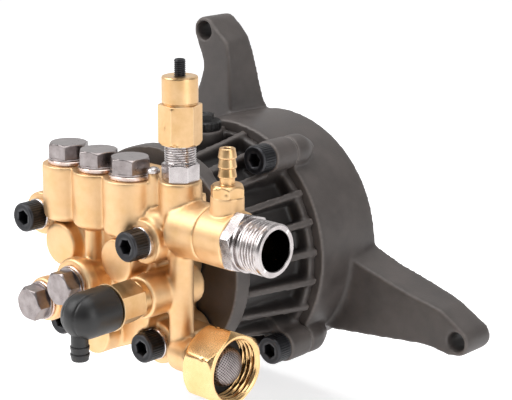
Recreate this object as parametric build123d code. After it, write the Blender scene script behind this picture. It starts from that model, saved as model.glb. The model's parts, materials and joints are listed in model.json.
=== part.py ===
from build123d import *
from math import cos, pi, radians, sin, tan, sqrt
import os

# Pressure washer pump, axial cam type, in millimetres.
# Origin: centre of the engine mounting face, on the shaft axis.
# +Y points to the engine, -Y to the valve head, +X to the water outlet, +Z up.

# ---- fits and clearances ----
RUN = 0.05              # radial clearance of a running fit
GAP = 0.3               # gap between pieces that don't touch
SEAT = 0.02             # gap where a piece seats on another

# ---- long dimensions along the shaft axis ----
BELL_LENGTH = 38.0
CASE_LENGTH = 49.2
HEAD_GASKET_THICKNESS = 0.8
GASKET_INSET = 0.6
HEAD_DEPTH = 24.0               # head base, from its gasket face forward
TOP_LUG_DEPTH = 38.0            # lugs of the two upper head bolts

CASE_REAR_Y = -BELL_LENGTH
CASE_FRONT_Y = CASE_REAR_Y - CASE_LENGTH
HEAD_REAR_Y = CASE_FRONT_Y - HEAD_GASKET_THICKNESS
HEAD_FRONT_Y = HEAD_REAR_Y - HEAD_DEPTH
TOP_SEAT_Y = HEAD_REAR_Y - TOP_LUG_DEPTH

# ---- mounting flange: bell and three arms ----
BELL_RADIUS = 57.0
BELL_WALL = 5.0
BELL_POCKET_DEPTH = 24.0
BELL_RIBS = 12
BELL_RIB_THICKNESS = 5.0
ARM_THICKNESS = 18.0
ARM_HOLE_RADIUS = 4.5
ARM_TIP_RADIUS = 6.6
ARM_ROOT_DEPTH = 7.0            # how far inside the bell's rim the arms start
ARM_1_HOLE = (-36.5, 92.6)
ARM_2_HOLE = (116.1, -28.1)
ARM_3_HOLE = (-60.0, -70.3)
ARM_POCKET_WIDTH = 11.0
ARM_POCKET_DEPTH = 13.0
ARM_1_POCKET = ((8.2, -12.6), (8.2, -30.6))     # ends of the slot's middle line, from the hole
ARM_2_POCKET = ((-15.6, 4.1), (-50.1, 6.4))
PILOT_RADIUS = 38.0
PILOT_DEPTH = 3.0

# ---- crankcase ----
CASE_FLANGE_RADIUS = 50.0
CASE_FLANGE_RISE = 3.0
CASE_FLANGE_THICKNESS = 9.0
BARREL_FRONT_RADIUS = 43.0
BARREL_REAR_RADIUS = 45.5
CHAMBER_RADIUS = 38.5
BULKHEAD_THICKNESS = 14.2
FIN_COUNT = 24
FIN_THICKNESS = 3.2
FIN_FRONT_RADIUS = 47.0
FIN_REAR_RADIUS = BELL_RADIUS - 2.5
CASE_BOLT_CIRCLE = BELL_RADIUS + 2.0
CASE_BOLT_ANGLES = (54.0, -41.0, 156.0, 229.0)
CASE_LUG_RADIUS = 7.4
CASE_LUG_LENGTH = 14.0
CASE_BOLT_GRIP = 9.5
CASE_BOLT_HOLE_DEPTH = 10.5
BELL_LUG_LENGTH = 8.0           # full-width part; the lug then slopes into the bell
BELL_LUG_SLOPE = 8.0
BELL_LUG_END_RADIUS = 3.0
OIL_BOSS_X = -7.0
OIL_BOSS_Y = -49.0
OIL_BOSS_RADIUS = 9.0
OIL_BOSS_TOP = BELL_RADIUS - 3.0
OIL_STEM_RADIUS = 6.0
OIL_STEM_LENGTH = 9.0

# ---- screws ----
M8_HEAD_RADIUS = 6.5
M8_HEAD_HEIGHT = 8.0
M8_HEX = 6.0
M8_SOCKET_DEPTH = 4.5
M8_RADIUS = 4.0
M8_CLEARANCE_RADIUS = 4.4
WASHER_THICKNESS = 2.0
WASHER_RADIUS = 6.9
TOP_BOLT_X = 32.5
TOP_BOLT_Z = 24.2
LOW_BOLT_X = 26.3
LOW_BOLT_Z = -25.4
BOLT_GRIP_IN_CASE = 12.0
HEAD_LUG_RADIUS = 9.6

# ---- shaft, bearing and swash plate ----
SHAFT_BORE_RADIUS = 11.1325     # 7/8 inch engine shaft with running clearance
SHAFT_BORE_DEPTH = 62.0
SHAFT_JOURNAL_RADIUS = 17.5
SHAFT_NOSE_RADIUS = 14.0
SHAFT_NOSE_WALL = 2.0
KEYWAY_WIDTH = 4.8
KEYWAY_DEPTH = 2.2
BEARING_OUTER_RADIUS = 36.0
BEARING_WIDTH = 17.0
BEARING_FRONT_Y = -30.0
BEARING_BALLS = 9
BALL_RADIUS = 5.45
TRACK_DEPTH = 1.4
# the two races share what the balls leave between the journal and the outer radius
RACE_THICKNESS = (BEARING_OUTER_RADIUS - SHAFT_JOURNAL_RADIUS) / 2 - BALL_RADIUS + TRACK_DEPTH
SEAL_OUTER_RADIUS = 26.0
SEAL_WIDTH = 7.0
SWASH_RADIUS = 30.0
SWASH_THICKNESS = 13.0
THRUST_INNER_RADIUS = 16.5
THRUST_OUTER_RADIUS = 30.0
THRUST_THICKNESS = 6.0
THRUST_GROOVE_DEPTH = 2.4
THRUST_GROOVE_WIDTH = 1.0

# ---- plungers ----
PLUNGER_CIRCLE = 22.7
PLUNGER_RADIUS = 6.5
PLUNGER_STROKE = 7.3
PLUNGER_ANGLES = (150.0, 30.0, 270.0)
PLUNGER_END_CLEARANCE = 0.8     # to the valve cage at full stroke
FOOT_RADIUS = 7.9
FOOT_THICKNESS = 4.0
FOOT_CLEARANCE = 0.6
SPRING_WIRE_RADIUS = 0.8
SPRING_COIL_RADIUS = PLUNGER_RADIUS + GAP + SPRING_WIRE_RADIUS
SPRING_TURNS = 4
SPRING_POCKET_RADIUS = 10.4
SPRING_POCKET_DEPTH = 3.0
GUIDE_RADIUS = 9.0
GUIDE_LENGTH = 5.5
OIL_SEAL_RADIUS = 10.0
OIL_SEAL_LENGTH = 4.4
PACKING_RADIUS = 9.0
WATER_SEAL_LENGTH = 3.6
RETAINER_LENGTH = 4.0
PRESSURE_SEAL_LENGTH = 3.6

SWASH_TILT = 180.0 / pi * (PLUNGER_STROKE / (2.0 * PLUNGER_CIRCLE))

# ---- valves ----
CHAMBER_BORE_RADIUS = 7.0
INLET_SEAT_LENGTH = 3.0
INLET_SEAT_FRONT_Y = -119.0
INLET_FLANGE_THICKNESS = 1.2
INLET_STEM_RADIUS = 1.8
INLET_STEM_LENGTH = 5.0
CAGE_LENGTH = 6.4
CAGE_WALL = 1.2
CAGE_END_THICKNESS = 0.8
CAGE_SLOT_WIDTH = 4.0
INLET_SPRING_RADIUS = 3.9
INLET_SPRING_WIRE = 0.25
DISCHARGE_SPRING_RADIUS = 3.6
DISCHARGE_SPRING_WIRE = 0.3
GALLERY_RADIUS = 3.5
GALLERY_Y = -121.5
DISCHARGE_BORE_RADIUS = 6.2
DISCHARGE_FLOOR_Z = 25.0
DISCHARGE_SEAT_LENGTH = 4.0
POPPET_RADIUS = 4.2
POPPET_HEIGHT = 3.0
DRILLING_RADIUS = 2.6

# ---- valve towers and their plugs ----
TOWER_PITCH = 19.3
TOWER_Y = -120.0
TOWER_RADIUS = 11.6
TOWER_TOP_Z = 48.6
TOWER_BOTTOM_Z = 24.0
PLUG_HEX = 15.6
PLUG_HEX_HEIGHT = 6.2
PLUG_FLANGE_RADIUS = 8.6
PLUG_FLANGE_HEIGHT = 1.0
PLUG_STEM_RADIUS = 6.1
PLUG_STEM_LENGTH = 7.0
PLUG_RING_HEIGHT = 1.9
PLUG_RING_RADIUS = 9.0

# ---- front of the head ----
PAD_X = 17.9
PAD_Z = 13.4
PAD_RADIUS = 9.5
PAD_FRONT_Y = -128.0
WEB_FRONT_Y = -122.0
WEB_CORNER_RADIUS = 8.0
LOW_PAD_RADIUS = 10.4
LOW_PAD_FRONT_Y = -126.0
NECK_RADIUS = 3.4
NECK_Y = -124.5
FRONT_PLUG_HEX = 13.6
FRONT_PLUG_HEX_HEIGHT = 6.0
FRONT_PLUG_FLANGE_RADIUS = 8.2
FRONT_PLUG_FLANGE_HEIGHT = 1.2
FRONT_PLUG_RING_HEIGHT = 1.3
FRONT_PLUG_STEM_RADIUS = 5.0
FRONT_PLUG_STEM_LENGTH = 9.0
FRONT_BOSS_Y = -136.5
CENTRE_BOSS_RADIUS = 11.6
CENTRE_BOSS_NECK = 9.4
LEFT_BOSS_RADIUS = 9.9
CENTRE_PLUG = (0.0, 0.8)
LEFT_PLUG = (-19.8, -10.4)

# ---- unloader, outlet and inlet column on the right ----
COLUMN_X = 43.0
COLUMN_Y = -114.0
COLUMN_RADIUS = 5.3
COLUMN_BORE_RADIUS = 3.2
UNLOADER_BOSS_RADIUS = 9.0
UNLOADER_BOSS_TOP = 50.5
UNLOADER_BORE_RADIUS = 5.6
UNLOADER_HEX = 13.6
UNLOADER_HEX_HEIGHT = 7.2
UNLOADER_HEX_TURN = -22.0
UNLOADER_THREAD_RADIUS = 6.58
UNLOADER_STEM_TOP = 77.0
UNLOADER_STEM_BORE = 5.0
CAP_BOTTOM_Z = 65.9
CAP_HEX = 15.8
CAP_HEX_TOP_Z = 82.5
CAP_HEX_TURN = -9.0
CAP_UPPER_BORE = 5.4
CAP_ROUND_RADIUS = 7.5
CAP_TOP_Z = 94.2
CAP_ROOF = 4.5
STOP_SCREW_RADIUS = 2.4
STOP_SCREW_TOP_Z = 101.0
PUSHER_HEIGHT = 3.0
UNLOADER_SPRING_WIRE = 0.9
UNLOADER_SPRING_TURNS = 7
UNLOADER_PISTON_TOP_Z = 52.0
UNLOADER_PISTON_BOTTOM_Z = 36.0
PISTON_ROD_RADIUS = 2.5

OUTLET_Z = 30.9
OUTLET_RADIUS = 12.3
OUTLET_LEFT_X = 43.0
INJECTOR_LEFT_X = 61.3
INJECTOR_RIGHT_X = 76.4
OUTLET_BORE_RADIUS = 8.4
NIPPLE_HEX = 23.0
NIPPLE_HEX_LENGTH = 5.2
NIPPLE_HEX_TURN = 12.0
NIPPLE_COLLAR_RADIUS = 11.6
NIPPLE_COLLAR_LENGTH = 1.4
NIPPLE_THREAD_RADIUS = 11.0
NIPPLE_RIGHT_X = 95.8
NIPPLE_SPIGOT_LENGTH = 6.0
NIPPLE_SPIGOT_RADIUS = 9.6
VENTURI_THROAT_RADIUS = 1.6
VENTURI_LENGTH = 13.0
VENTURI_RADIUS = 6.0

BARB_X = 69.4                   # over the injector, on the outlet's own axis
BARB_Y = COLUMN_Y
BARB_BOSS_RADIUS = 6.9
BARB_BOSS_TOP = 48.7
BARB_HEX = 12.6
BARB_HEX_HEIGHT = 4.8
BARB_TOP_Z = 68.4
BARB_CORE_RADIUS = 3.1
BARB_LIP_RADIUS = 3.8
BARB_BORE_RADIUS = 1.5
BARB_STEM_RADIUS = 4.0
BARB_STEM_LENGTH = 6.0
CHECK_BALL_RADIUS = 2.4
BALL_POCKET_RISE = 2.0
CHECK_SPRING_RADIUS = 1.5
CHECK_SPRING_WIRE = 0.15
CHECK_SPRING_TURNS = 3
CHECK_STEP_RADIUS = 1.2

INLET_Z = -24.6
INLET_BOSS_RADIUS = 8.0
INLET_BOSS_RIGHT_X = 52.0
INLET_BORE_RADIUS = 5.6
TAIL_RADIUS = 8.6
TAIL_FLANGE_RADIUS = 12.0
TAIL_FLANGE_LENGTH = 2.6
NUT_LEFT_X = 57.4
NUT_RIGHT_X = 74.6
NUT_HEX = 29.6
NUT_ROUND_RADIUS = 16.2
NUT_BORE_RADIUS = 12.6
NUT_COLLAR_THICKNESS = 3.2
HOSE_WASHER_THICKNESS = 2.6
FILTER_RIM_RADIUS = 8.6
FILTER_HEIGHT = 7.0

RIB_Y = -119.0
RIB_Z = 33.6
RIB_RADIUS = 4.4

BLEED_X = 31.6
BLEED_Y = -118.4
BLEED_POST_RADIUS = 2.4
BLEED_POST_TOP = 52.4
BLEED_HEAD_RADIUS = 2.8
BLEED_HEAD_HEIGHT = 2.6
BLEED_STEM_RADIUS = 1.3
BLEED_STEM_LENGTH = 5.0

# ---- thermal relief valve ----
THERMAL_X = 34.4
THERMAL_Z = 1.4
THERMAL_BOSS_RADIUS = 9.3
THERMAL_BOSS_Y = -130.6
THERMAL_COLLAR_RADIUS = 8.2
THERMAL_COLLAR_LENGTH = 3.0
THERMAL_HEX = 15.8
THERMAL_HEX_LENGTH = 13.4
THERMAL_HEX_TURN = 35.0
THERMAL_RIM_RADIUS = 10.0
THERMAL_RIM_LENGTH = 0.5
THERMAL_NECK_RADIUS = 5.6
THERMAL_NECK_LENGTH = 8.0
THERMAL_STEM_LENGTH = 10.0
THERMAL_STEM_RADIUS = 5.0
ELBOW_RADIUS = 9.8
ELBOW_LENGTH = 22.3
ELBOW_BORE_RADIUS = 2.4
ELBOW_BARB_LENGTH = 18.2
ELBOW_BARB_RADIUS = 3.6
ELBOW_BARB_LIP = 4.0
ELBOW_BARB_FROM_END = 6.7


# ---------------------------------------------------------------- helpers
STANDING = (Align.CENTER, Align.CENTER, Align.MIN)


def cyl_z(x, y, start, end, radius):
    low = min(start, end)
    return Pos(x, y, low) * Cylinder(radius, abs(end - start), align=STANDING)


def cyl_y(x, z, start, end, radius):
    low = min(start, end)
    solid = Cylinder(radius, abs(end - start), align=STANDING)
    return Pos(x, low, z) * Rot(-90, 0, 0) * solid


def cyl_x(y, z, start, end, radius):
    low = min(start, end)
    solid = Cylinder(radius, abs(end - start), align=STANDING)
    return Pos(low, y, z) * Rot(0, 90, 0) * solid


def block(x0, x1, y0, y1, z0, z1):
    centre = Pos((x0 + x1) / 2, (y0 + y1) / 2, (z0 + z1) / 2)
    return centre * Box(abs(x1 - x0), abs(y1 - y0), abs(z1 - z0))


def turned(*profile):
    """Solid of revolution about +Z from (radius, height) points."""
    return revolve(Plane.XZ * make_face(Polyline(*profile, close=True)), Axis.Z)


def hex_prism(across_flats, height, turn=0.0):
    flat = RegularPolygon(across_flats / 2, 6, major_radius=False, rotation=turn)
    return extrude(flat, height)


def toward(direction, x, y, z):
    """Places a shape made along +Z so that it points along direction from (x, y, z)."""
    turns = {"+X": Rot(0, 90, 0), "-X": Rot(0, -90, 0), "+Y": Rot(-90, 0, 0),
             "-Y": Rot(90, 0, 0), "+Z": Rot(0, 0, 0), "-Z": Rot(180, 0, 0)}
    return Pos(x, y, z) * turns[direction]


def ring(inner, outer, height):
    return Cylinder(outer, height, align=STANDING) - Cylinder(inner, height, align=STANDING)


def coil(coil_radius, wire_radius, height, turns):
    """Compression spring of round wire, standing on z = 0, height over the wire."""
    travel = height - 2 * wire_radius
    path = Helix(travel / turns, travel, coil_radius)
    start = path @ 0
    section = Plane(start, z_dir=path % 0) * Circle(wire_radius)
    return Pos(0, 0, wire_radius) * sweep(section, path=path, is_frenet=True)


def on_circle(radius, angle):
    return radius * cos(radians(angle)), radius * sin(radians(angle))


def save(name, shape):
    whole = shape if isinstance(shape, Compound) else Compound(children=[shape])
    export_step(whole, "parts/" + name + ".step")


def group(solids):
    return Compound(children=list(solids))


PLUNGER_PLACES = [on_circle(PLUNGER_CIRCLE, angle) for angle in PLUNGER_ANGLES]
TOWER_X = (-TOWER_PITCH, TOWER_PITCH, 0.0)
HEAD_BOLTS = [(-TOP_BOLT_X, TOP_BOLT_Z, TOP_SEAT_Y), (TOP_BOLT_X, TOP_BOLT_Z, TOP_SEAT_Y),
              (-LOW_BOLT_X, LOW_BOLT_Z, HEAD_FRONT_Y), (LOW_BOLT_X, LOW_BOLT_Z, HEAD_FRONT_Y)]
CASE_BOLTS = [on_circle(CASE_BOLT_CIRCLE, angle) for angle in CASE_BOLT_ANGLES]
CASE_LUG_FRONT_Y = CASE_REAR_Y - CASE_LUG_LENGTH

# axial stack of the drive
SWASH_REAR_Y = BEARING_FRONT_Y - 1.0
SWASH_CENTRE_Y = SWASH_REAR_Y - SWASH_THICKNESS
THRUST_CENTRE_Y = SWASH_CENTRE_Y - THRUST_THICKNESS / cos(radians(SWASH_TILT))
FOOT_REAR_Y = (THRUST_CENTRE_Y - (PLUNGER_CIRCLE + FOOT_RADIUS) * tan(radians(SWASH_TILT))
               - FOOT_CLEARANCE)
FOOT_FRONT_Y = FOOT_REAR_Y - FOOT_THICKNESS
BULKHEAD_REAR_Y = CASE_FRONT_Y + BULKHEAD_THICKNESS
POCKET_FLOOR_Y = BULKHEAD_REAR_Y - SPRING_POCKET_DEPTH
GUIDE_FRONT_Y = POCKET_FLOOR_Y - GUIDE_LENGTH
WATER_SEAL_FRONT_Y = HEAD_REAR_Y - WATER_SEAL_LENGTH
RETAINER_FRONT_Y = WATER_SEAL_FRONT_Y - RETAINER_LENGTH
PACKING_FRONT_Y = RETAINER_FRONT_Y - PRESSURE_SEAL_LENGTH
INLET_SEAT_REAR_Y = INLET_SEAT_FRONT_Y + INLET_SEAT_LENGTH
CAGE_REAR_Y = INLET_SEAT_REAR_Y + CAGE_LENGTH
PLUNGER_LENGTH = FOOT_FRONT_Y - PLUNGER_STROKE - CAGE_REAR_Y - PLUNGER_END_CLEARANCE


# ---------------------------------------------------------------- mounting flange
def arm(hole, root_angles, front, rear):
    """One arm of the flange; front and rear outline it there, as offsets from its hole."""
    root = [on_circle(BELL_RADIUS - ARM_ROOT_DEPTH, angle) for angle in root_angles]
    sections = []
    for depth, outline in ((ARM_THICKNESS, front), (0.0, rear)):
        points = root + [(hole[0] + x, hole[1] + z) for x, z in outline]
        sections.append(Plane.XZ.offset(depth) * make_face(Polyline(*points, close=True)))
    return loft(sections, ruled=True) + cyl_y(*hole, -ARM_THICKNESS, 0, ARM_TIP_RADIUS)


def arm_1():
    """Upper arm, which leans to the left; its right side widens toward the engine."""
    left = [(-6.8, -35.0), (-4.2, -27.8), (-2.0, -22.6), (-0.5, -17.5),
            (-1.1, -13.9), (-3.4, -8.7), (-5.3, -3.8)]
    front = [(3.0, 5.9), (7.6, 1.9), (15.5, -4.3), (16.8, -11.1),
             (17.1, -17.6), (17.2, -23.1), (17.5, -30.6), (17.7, -37.1)]
    rear = [(3.0, 5.9), (8.5, 1.7), (13.2, -3.6), (16.3, -10.4),
            (18.4, -17.5), (20.5, -24.0), (23.0, -31.6), (25.5, -36.2)]
    return arm(ARM_1_HOLE, (100.0, 135.0), left + front, left + rear)


def arm_2():
    """Right arm, long and tapered, with its upper edge a little higher at the engine face."""
    front = [(-58.7, 25.3), (-43.2, 21.2), (-30.8, 17.7), (-23.3, 15.9), (-15.0, 14.5),
             (-7.9, 12.7), (-2.2, 9.2), (2.3, 6.5), (5.1, 4.1)]
    rear = [(-57.4, 28.3), (-42.7, 22.6), (-33.1, 20.2), (-23.7, 17.6), (-14.3, 14.7),
            (-8.8, 12.4), (-3.2, 9.2), (1.6, 6.3), (5.1, 4.0)]
    low = [(-0.6, -6.8), (-4.1, -7.1), (-9.6, -6.2), (-15.1, -5.6), (-19.7, -5.7),
           (-28.0, -6.6), (-42.2, -8.2), (-58.7, -9.9), (-71.1, -11.2)]
    return arm(ARM_2_HOLE, (-42.0, 6.0), front + low, rear + low)


def arm_3():
    """Lower left arm, out of sight in the photograph."""
    outline = [(26.0, 7.3), (7.0, -5.3), (0.5, -6.6), (-6.6, 1.3), (-5.0, 8.3), (8.0, 25.3)]
    return arm(ARM_3_HOLE, (213.0, 247.0), outline, outline)


def arm_pocket(hole, ends):
    """Slot cut from the engine side between the two ends of its middle line."""
    rounds = [Pos(hole[0] + x, hole[1] + z) * Circle(ARM_POCKET_WIDTH / 2) for x, z in ends]
    slot = make_hull([edge for one in rounds for edge in one.edges()])
    return Plane.XZ * extrude(make_face(slot), ARM_POCKET_DEPTH)


def bell_lug():
    """Round lug behind the seam that slopes down into the bell."""
    end = BELL_LUG_LENGTH + BELL_LUG_SLOPE
    return turned((0, 0), (CASE_LUG_RADIUS, 0), (CASE_LUG_RADIUS, BELL_LUG_LENGTH),
                  (BELL_LUG_END_RADIUS, end), (0, end))


def mounting_flange():
    body = cyl_y(0, 0, CASE_REAR_Y, 0, BELL_RADIUS)
    body += arm_1() + arm_2() + arm_3()
    for x, z in CASE_BOLTS:
        body += toward("+Y", x, CASE_REAR_Y, z) * bell_lug()
    pocket_inner = BEARING_OUTER_RADIUS + 5.0
    pocket = Plane.XZ * extrude(Circle(BELL_RADIUS - BELL_WALL) - Circle(pocket_inner), BELL_POCKET_DEPTH)
    rib = block(-BELL_RIB_THICKNESS / 2, BELL_RIB_THICKNESS / 2, -BELL_POCKET_DEPTH, 0, 0, BELL_RADIUS)
    body -= pocket - [Rot(0, turn, 0) * rib for turn in range(0, 360, 360 // BELL_RIBS)]
    body -= arm_pocket(ARM_1_HOLE, ARM_1_POCKET)
    body -= arm_pocket(ARM_2_HOLE, ARM_2_POCKET)
    for x, z in (ARM_1_HOLE, ARM_2_HOLE, ARM_3_HOLE):
        body -= cyl_y(x, z, -ARM_THICKNESS, 0, ARM_HOLE_RADIUS)
    body -= cyl_y(0, 0, -PILOT_DEPTH, 0, PILOT_RADIUS)
    body -= cyl_y(0, 0, CASE_REAR_Y, BEARING_FRONT_Y + BEARING_WIDTH, BEARING_OUTER_RADIUS + SEAT)
    body -= cyl_y(0, 0, CASE_REAR_Y, 0, SEAL_OUTER_RADIUS + SEAT)
    for x, z in CASE_BOLTS:
        body -= cyl_y(x, z, CASE_REAR_Y, CASE_REAR_Y + CASE_BOLT_HOLE_DEPTH, M8_RADIUS + RUN)
    return body


# ---------------------------------------------------------------- crankcase
def fin(angle):
    """One axial fin, deeper toward the engine; made at +Z and turned to its angle."""
    front = CASE_FRONT_Y + CASE_FLANGE_THICKNESS - 1.0
    side = Polyline((front, BARREL_FRONT_RADIUS - 4), (CASE_REAR_Y, BARREL_REAR_RADIUS - 4),
                    (CASE_REAR_Y, FIN_REAR_RADIUS), (front, FIN_FRONT_RADIUS), close=True)
    blade = extrude(Plane.YZ * make_face(side), FIN_THICKNESS / 2, both=True)
    return Rot(0, 90 - angle, 0) * blade


def crankcase():
    barrel = turned((0, 0), (BARREL_FRONT_RADIUS, 0), (BARREL_REAR_RADIUS, CASE_LENGTH), (0, CASE_LENGTH))
    body = toward("+Y", 0, CASE_FRONT_Y, 0) * barrel
    body += cyl_y(0, CASE_FLANGE_RISE, CASE_FRONT_Y, CASE_FRONT_Y + CASE_FLANGE_THICKNESS, CASE_FLANGE_RADIUS)
    body += cyl_y(0, 0, CASE_REAR_Y - 4.0, CASE_REAR_Y, BELL_RADIUS - 4.5)
    for index in range(FIN_COUNT):
        body += fin(index * 360.0 / FIN_COUNT + 5.0)
    for angle, (x, z) in zip(CASE_BOLT_ANGLES, CASE_BOLTS):
        body += cyl_y(x, z, CASE_LUG_FRONT_Y, CASE_REAR_Y, CASE_LUG_RADIUS)
        web = block(-5.5, 5.5, CASE_LUG_FRONT_Y, CASE_REAR_Y, CHAMBER_RADIUS + 2.0, CASE_BOLT_CIRCLE)
        body += Rot(0, 90 - angle, 0) * web
    body += cyl_z(OIL_BOSS_X, OIL_BOSS_Y, CHAMBER_RADIUS, OIL_BOSS_TOP, OIL_BOSS_RADIUS)
    body -= cyl_y(0, 0, BULKHEAD_REAR_Y, CASE_REAR_Y, CHAMBER_RADIUS)
    for x, z in PLUNGER_PLACES:
        body -= cyl_y(x, z, POCKET_FLOOR_Y, BULKHEAD_REAR_Y, SPRING_POCKET_RADIUS)
        body -= cyl_y(x, z, GUIDE_FRONT_Y, POCKET_FLOOR_Y, GUIDE_RADIUS + SEAT)
        body -= cyl_y(x, z, CASE_FRONT_Y, GUIDE_FRONT_Y, OIL_SEAL_RADIUS + SEAT)
    for x, z, _ in HEAD_BOLTS:
        body -= cyl_y(x, z, CASE_FRONT_Y, CASE_FRONT_Y + BOLT_GRIP_IN_CASE + 1.0, M8_RADIUS + RUN)
    for x, z in CASE_BOLTS:
        body -= cyl_y(x, z, CASE_LUG_FRONT_Y - 30.0, CASE_REAR_Y, M8_CLEARANCE_RADIUS)
        body -= cyl_y(x, z, CASE_LUG_FRONT_Y - 30.0, CASE_LUG_FRONT_Y, M8_HEAD_RADIUS + 1.2)
    body -= cyl_z(OIL_BOSS_X, OIL_BOSS_Y, CHAMBER_RADIUS - 4.0, OIL_BOSS_TOP, OIL_STEM_RADIUS + RUN)
    return body


# ---------------------------------------------------------------- fasteners
def socket_screw(length):
    """Socket head screw, bearing face on z = 0, shank down, head up."""
    head = Cylinder(M8_HEAD_RADIUS, M8_HEAD_HEIGHT, align=STANDING)
    head = chamfer(head.edges().group_by(Axis.Z)[-1], 0.6)
    shank = cyl_z(0, 0, -length, 0, M8_RADIUS)
    socket = Pos(0, 0, M8_HEAD_HEIGHT - M8_SOCKET_DEPTH) * hex_prism(M8_HEX, M8_SOCKET_DEPTH)
    return head + shank - socket


def head_bolts():
    for x, z, seat in HEAD_BOLTS:
        length = CASE_FRONT_Y + BOLT_GRIP_IN_CASE - seat + WASHER_THICKNESS
        yield toward("-Y", x, seat - WASHER_THICKNESS - SEAT, z) * socket_screw(length)


def head_washers():
    for x, z, seat in HEAD_BOLTS:
        yield toward("-Y", x, seat, z) * ring(M8_CLEARANCE_RADIUS, WASHER_RADIUS, WASHER_THICKNESS)


def case_bolts():
    for x, z in CASE_BOLTS:
        screw = socket_screw(CASE_LUG_LENGTH + CASE_BOLT_GRIP)
        yield toward("-Y", x, CASE_LUG_FRONT_Y - SEAT, z) * screw


# ---------------------------------------------------------------- drive
def drive_shaft():
    nose_end = -(SHAFT_BORE_DEPTH + SHAFT_NOSE_WALL)
    body = cyl_y(0, 0, SWASH_REAR_Y, 0, SHAFT_JOURNAL_RADIUS)
    body += cyl_y(0, 0, nose_end, SWASH_REAR_Y, SHAFT_NOSE_RADIUS)
    body -= cyl_y(0, 0, -SHAFT_BORE_DEPTH, 0, SHAFT_BORE_RADIUS)
    half = KEYWAY_WIDTH / 2
    return body - block(-half, half, -SHAFT_BORE_DEPTH, 0, 0, SHAFT_BORE_RADIUS + KEYWAY_DEPTH)


def tilted(shape, centre_y):
    """Leans a shape so that the thick side of the swash plate hangs down."""
    return Pos(0, centre_y, 0) * Rot(-SWASH_TILT, 0, 0) * shape


def swash_plate():
    blank = cyl_y(0, 0, SWASH_CENTRE_Y - 20.0, SWASH_REAR_Y, SWASH_RADIUS)
    front = tilted(block(-60, 60, -60, 0, -60, 60), SWASH_CENTRE_Y)
    return blank - front - cyl_y(0, 0, SWASH_CENTRE_Y - 30.0, SWASH_REAR_Y, SHAFT_NOSE_RADIUS + SEAT)


def thrust_bearing():
    body = ring(THRUST_INNER_RADIUS, THRUST_OUTER_RADIUS, THRUST_THICKNESS)
    groove = Pos(0, 0, (THRUST_THICKNESS - THRUST_GROOVE_WIDTH) / 2) * ring(
        THRUST_OUTER_RADIUS - THRUST_GROOVE_DEPTH, THRUST_OUTER_RADIUS + 1, THRUST_GROOVE_WIDTH)
    return tilted(Rot(90, 0, 0) * (body - groove), SWASH_CENTRE_Y)


def bearing_races():
    mid = BEARING_OUTER_RADIUS - RACE_THICKNESS + TRACK_DEPTH - BALL_RADIUS
    place = toward("-Y", 0, BEARING_FRONT_Y + BEARING_WIDTH, 0)
    track = Pos(0, 0, BEARING_WIDTH / 2) * Torus(mid, BALL_RADIUS + RUN)
    outer = ring(BEARING_OUTER_RADIUS - RACE_THICKNESS, BEARING_OUTER_RADIUS, BEARING_WIDTH)
    inner = ring(SHAFT_JOURNAL_RADIUS + SEAT, mid - BALL_RADIUS + TRACK_DEPTH, BEARING_WIDTH)
    centres = [on_circle(mid, index * 360.0 / BEARING_BALLS) for index in range(BEARING_BALLS)]
    balls = [place * Pos(x, z, BEARING_WIDTH / 2) * Sphere(BALL_RADIUS) for x, z in centres]
    return place * (outer - track), place * (inner - track), balls


def shaft_seal():
    rear = BEARING_FRONT_Y + BEARING_WIDTH + 1.0
    return toward("+Y", 0, rear, 0) * ring(SHAFT_JOURNAL_RADIUS + RUN, SEAL_OUTER_RADIUS, SEAL_WIDTH)


def plunger(x, z):
    foot = turned((0, 0), (FOOT_RADIUS - 2.2, 0), (FOOT_RADIUS, 1.2),
                  (FOOT_RADIUS, FOOT_THICKNESS), (0, FOOT_THICKNESS))
    rod = turned((0, 0), (PLUNGER_RADIUS, 0), (PLUNGER_RADIUS, PLUNGER_LENGTH - 0.8),
                 (PLUNGER_RADIUS - 0.8, PLUNGER_LENGTH), (0, PLUNGER_LENGTH))
    return toward("-Y", x, FOOT_REAR_Y, z) * foot + toward("-Y", x, FOOT_FRONT_Y, z) * rod


def plunger_spring(x, z):
    height = FOOT_FRONT_Y - POCKET_FLOOR_Y - 2 * GAP
    spring = coil(SPRING_COIL_RADIUS, SPRING_WIRE_RADIUS, height, SPRING_TURNS)
    return toward("-Y", x, FOOT_FRONT_Y - GAP, z) * spring


def plunger_rings(rear, length, outer):
    """One ring round each plunger, from rear toward the head."""
    for x, z in PLUNGER_PLACES:
        yield toward("-Y", x, rear, z) * ring(PLUNGER_RADIUS + RUN, outer, length - SEAT)


# ---------------------------------------------------------------- pump head
def revolved_boss(x, z, radius, neck, front, rear):
    """Boss with a wide lip in front and a waisted neck behind it."""
    lip = 5.0
    length = rear - front
    boss = turned((0, 0), (radius - 0.8, 0), (radius, 0.8), (radius, lip), (neck + 0.8, lip + 2.2),
                  (neck, lip + 4.5), (neck, length), (0, length))
    return toward("+Y", x, front, z) * boss


def head_base(inset):
    """Outline of the head's joint face, drawn inwards by inset."""
    corners = ((-21, 18, 11.5), (21, 18, 11.5), (-17, -17, 9), (17, -17, 9), (0, -22.7, LOW_PAD_RADIUS))
    outline = make_hull([edge for x, z, radius in corners
                         for edge in (Pos(x, z) * Circle(radius - inset)).edges()])
    return make_face(outline)


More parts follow.
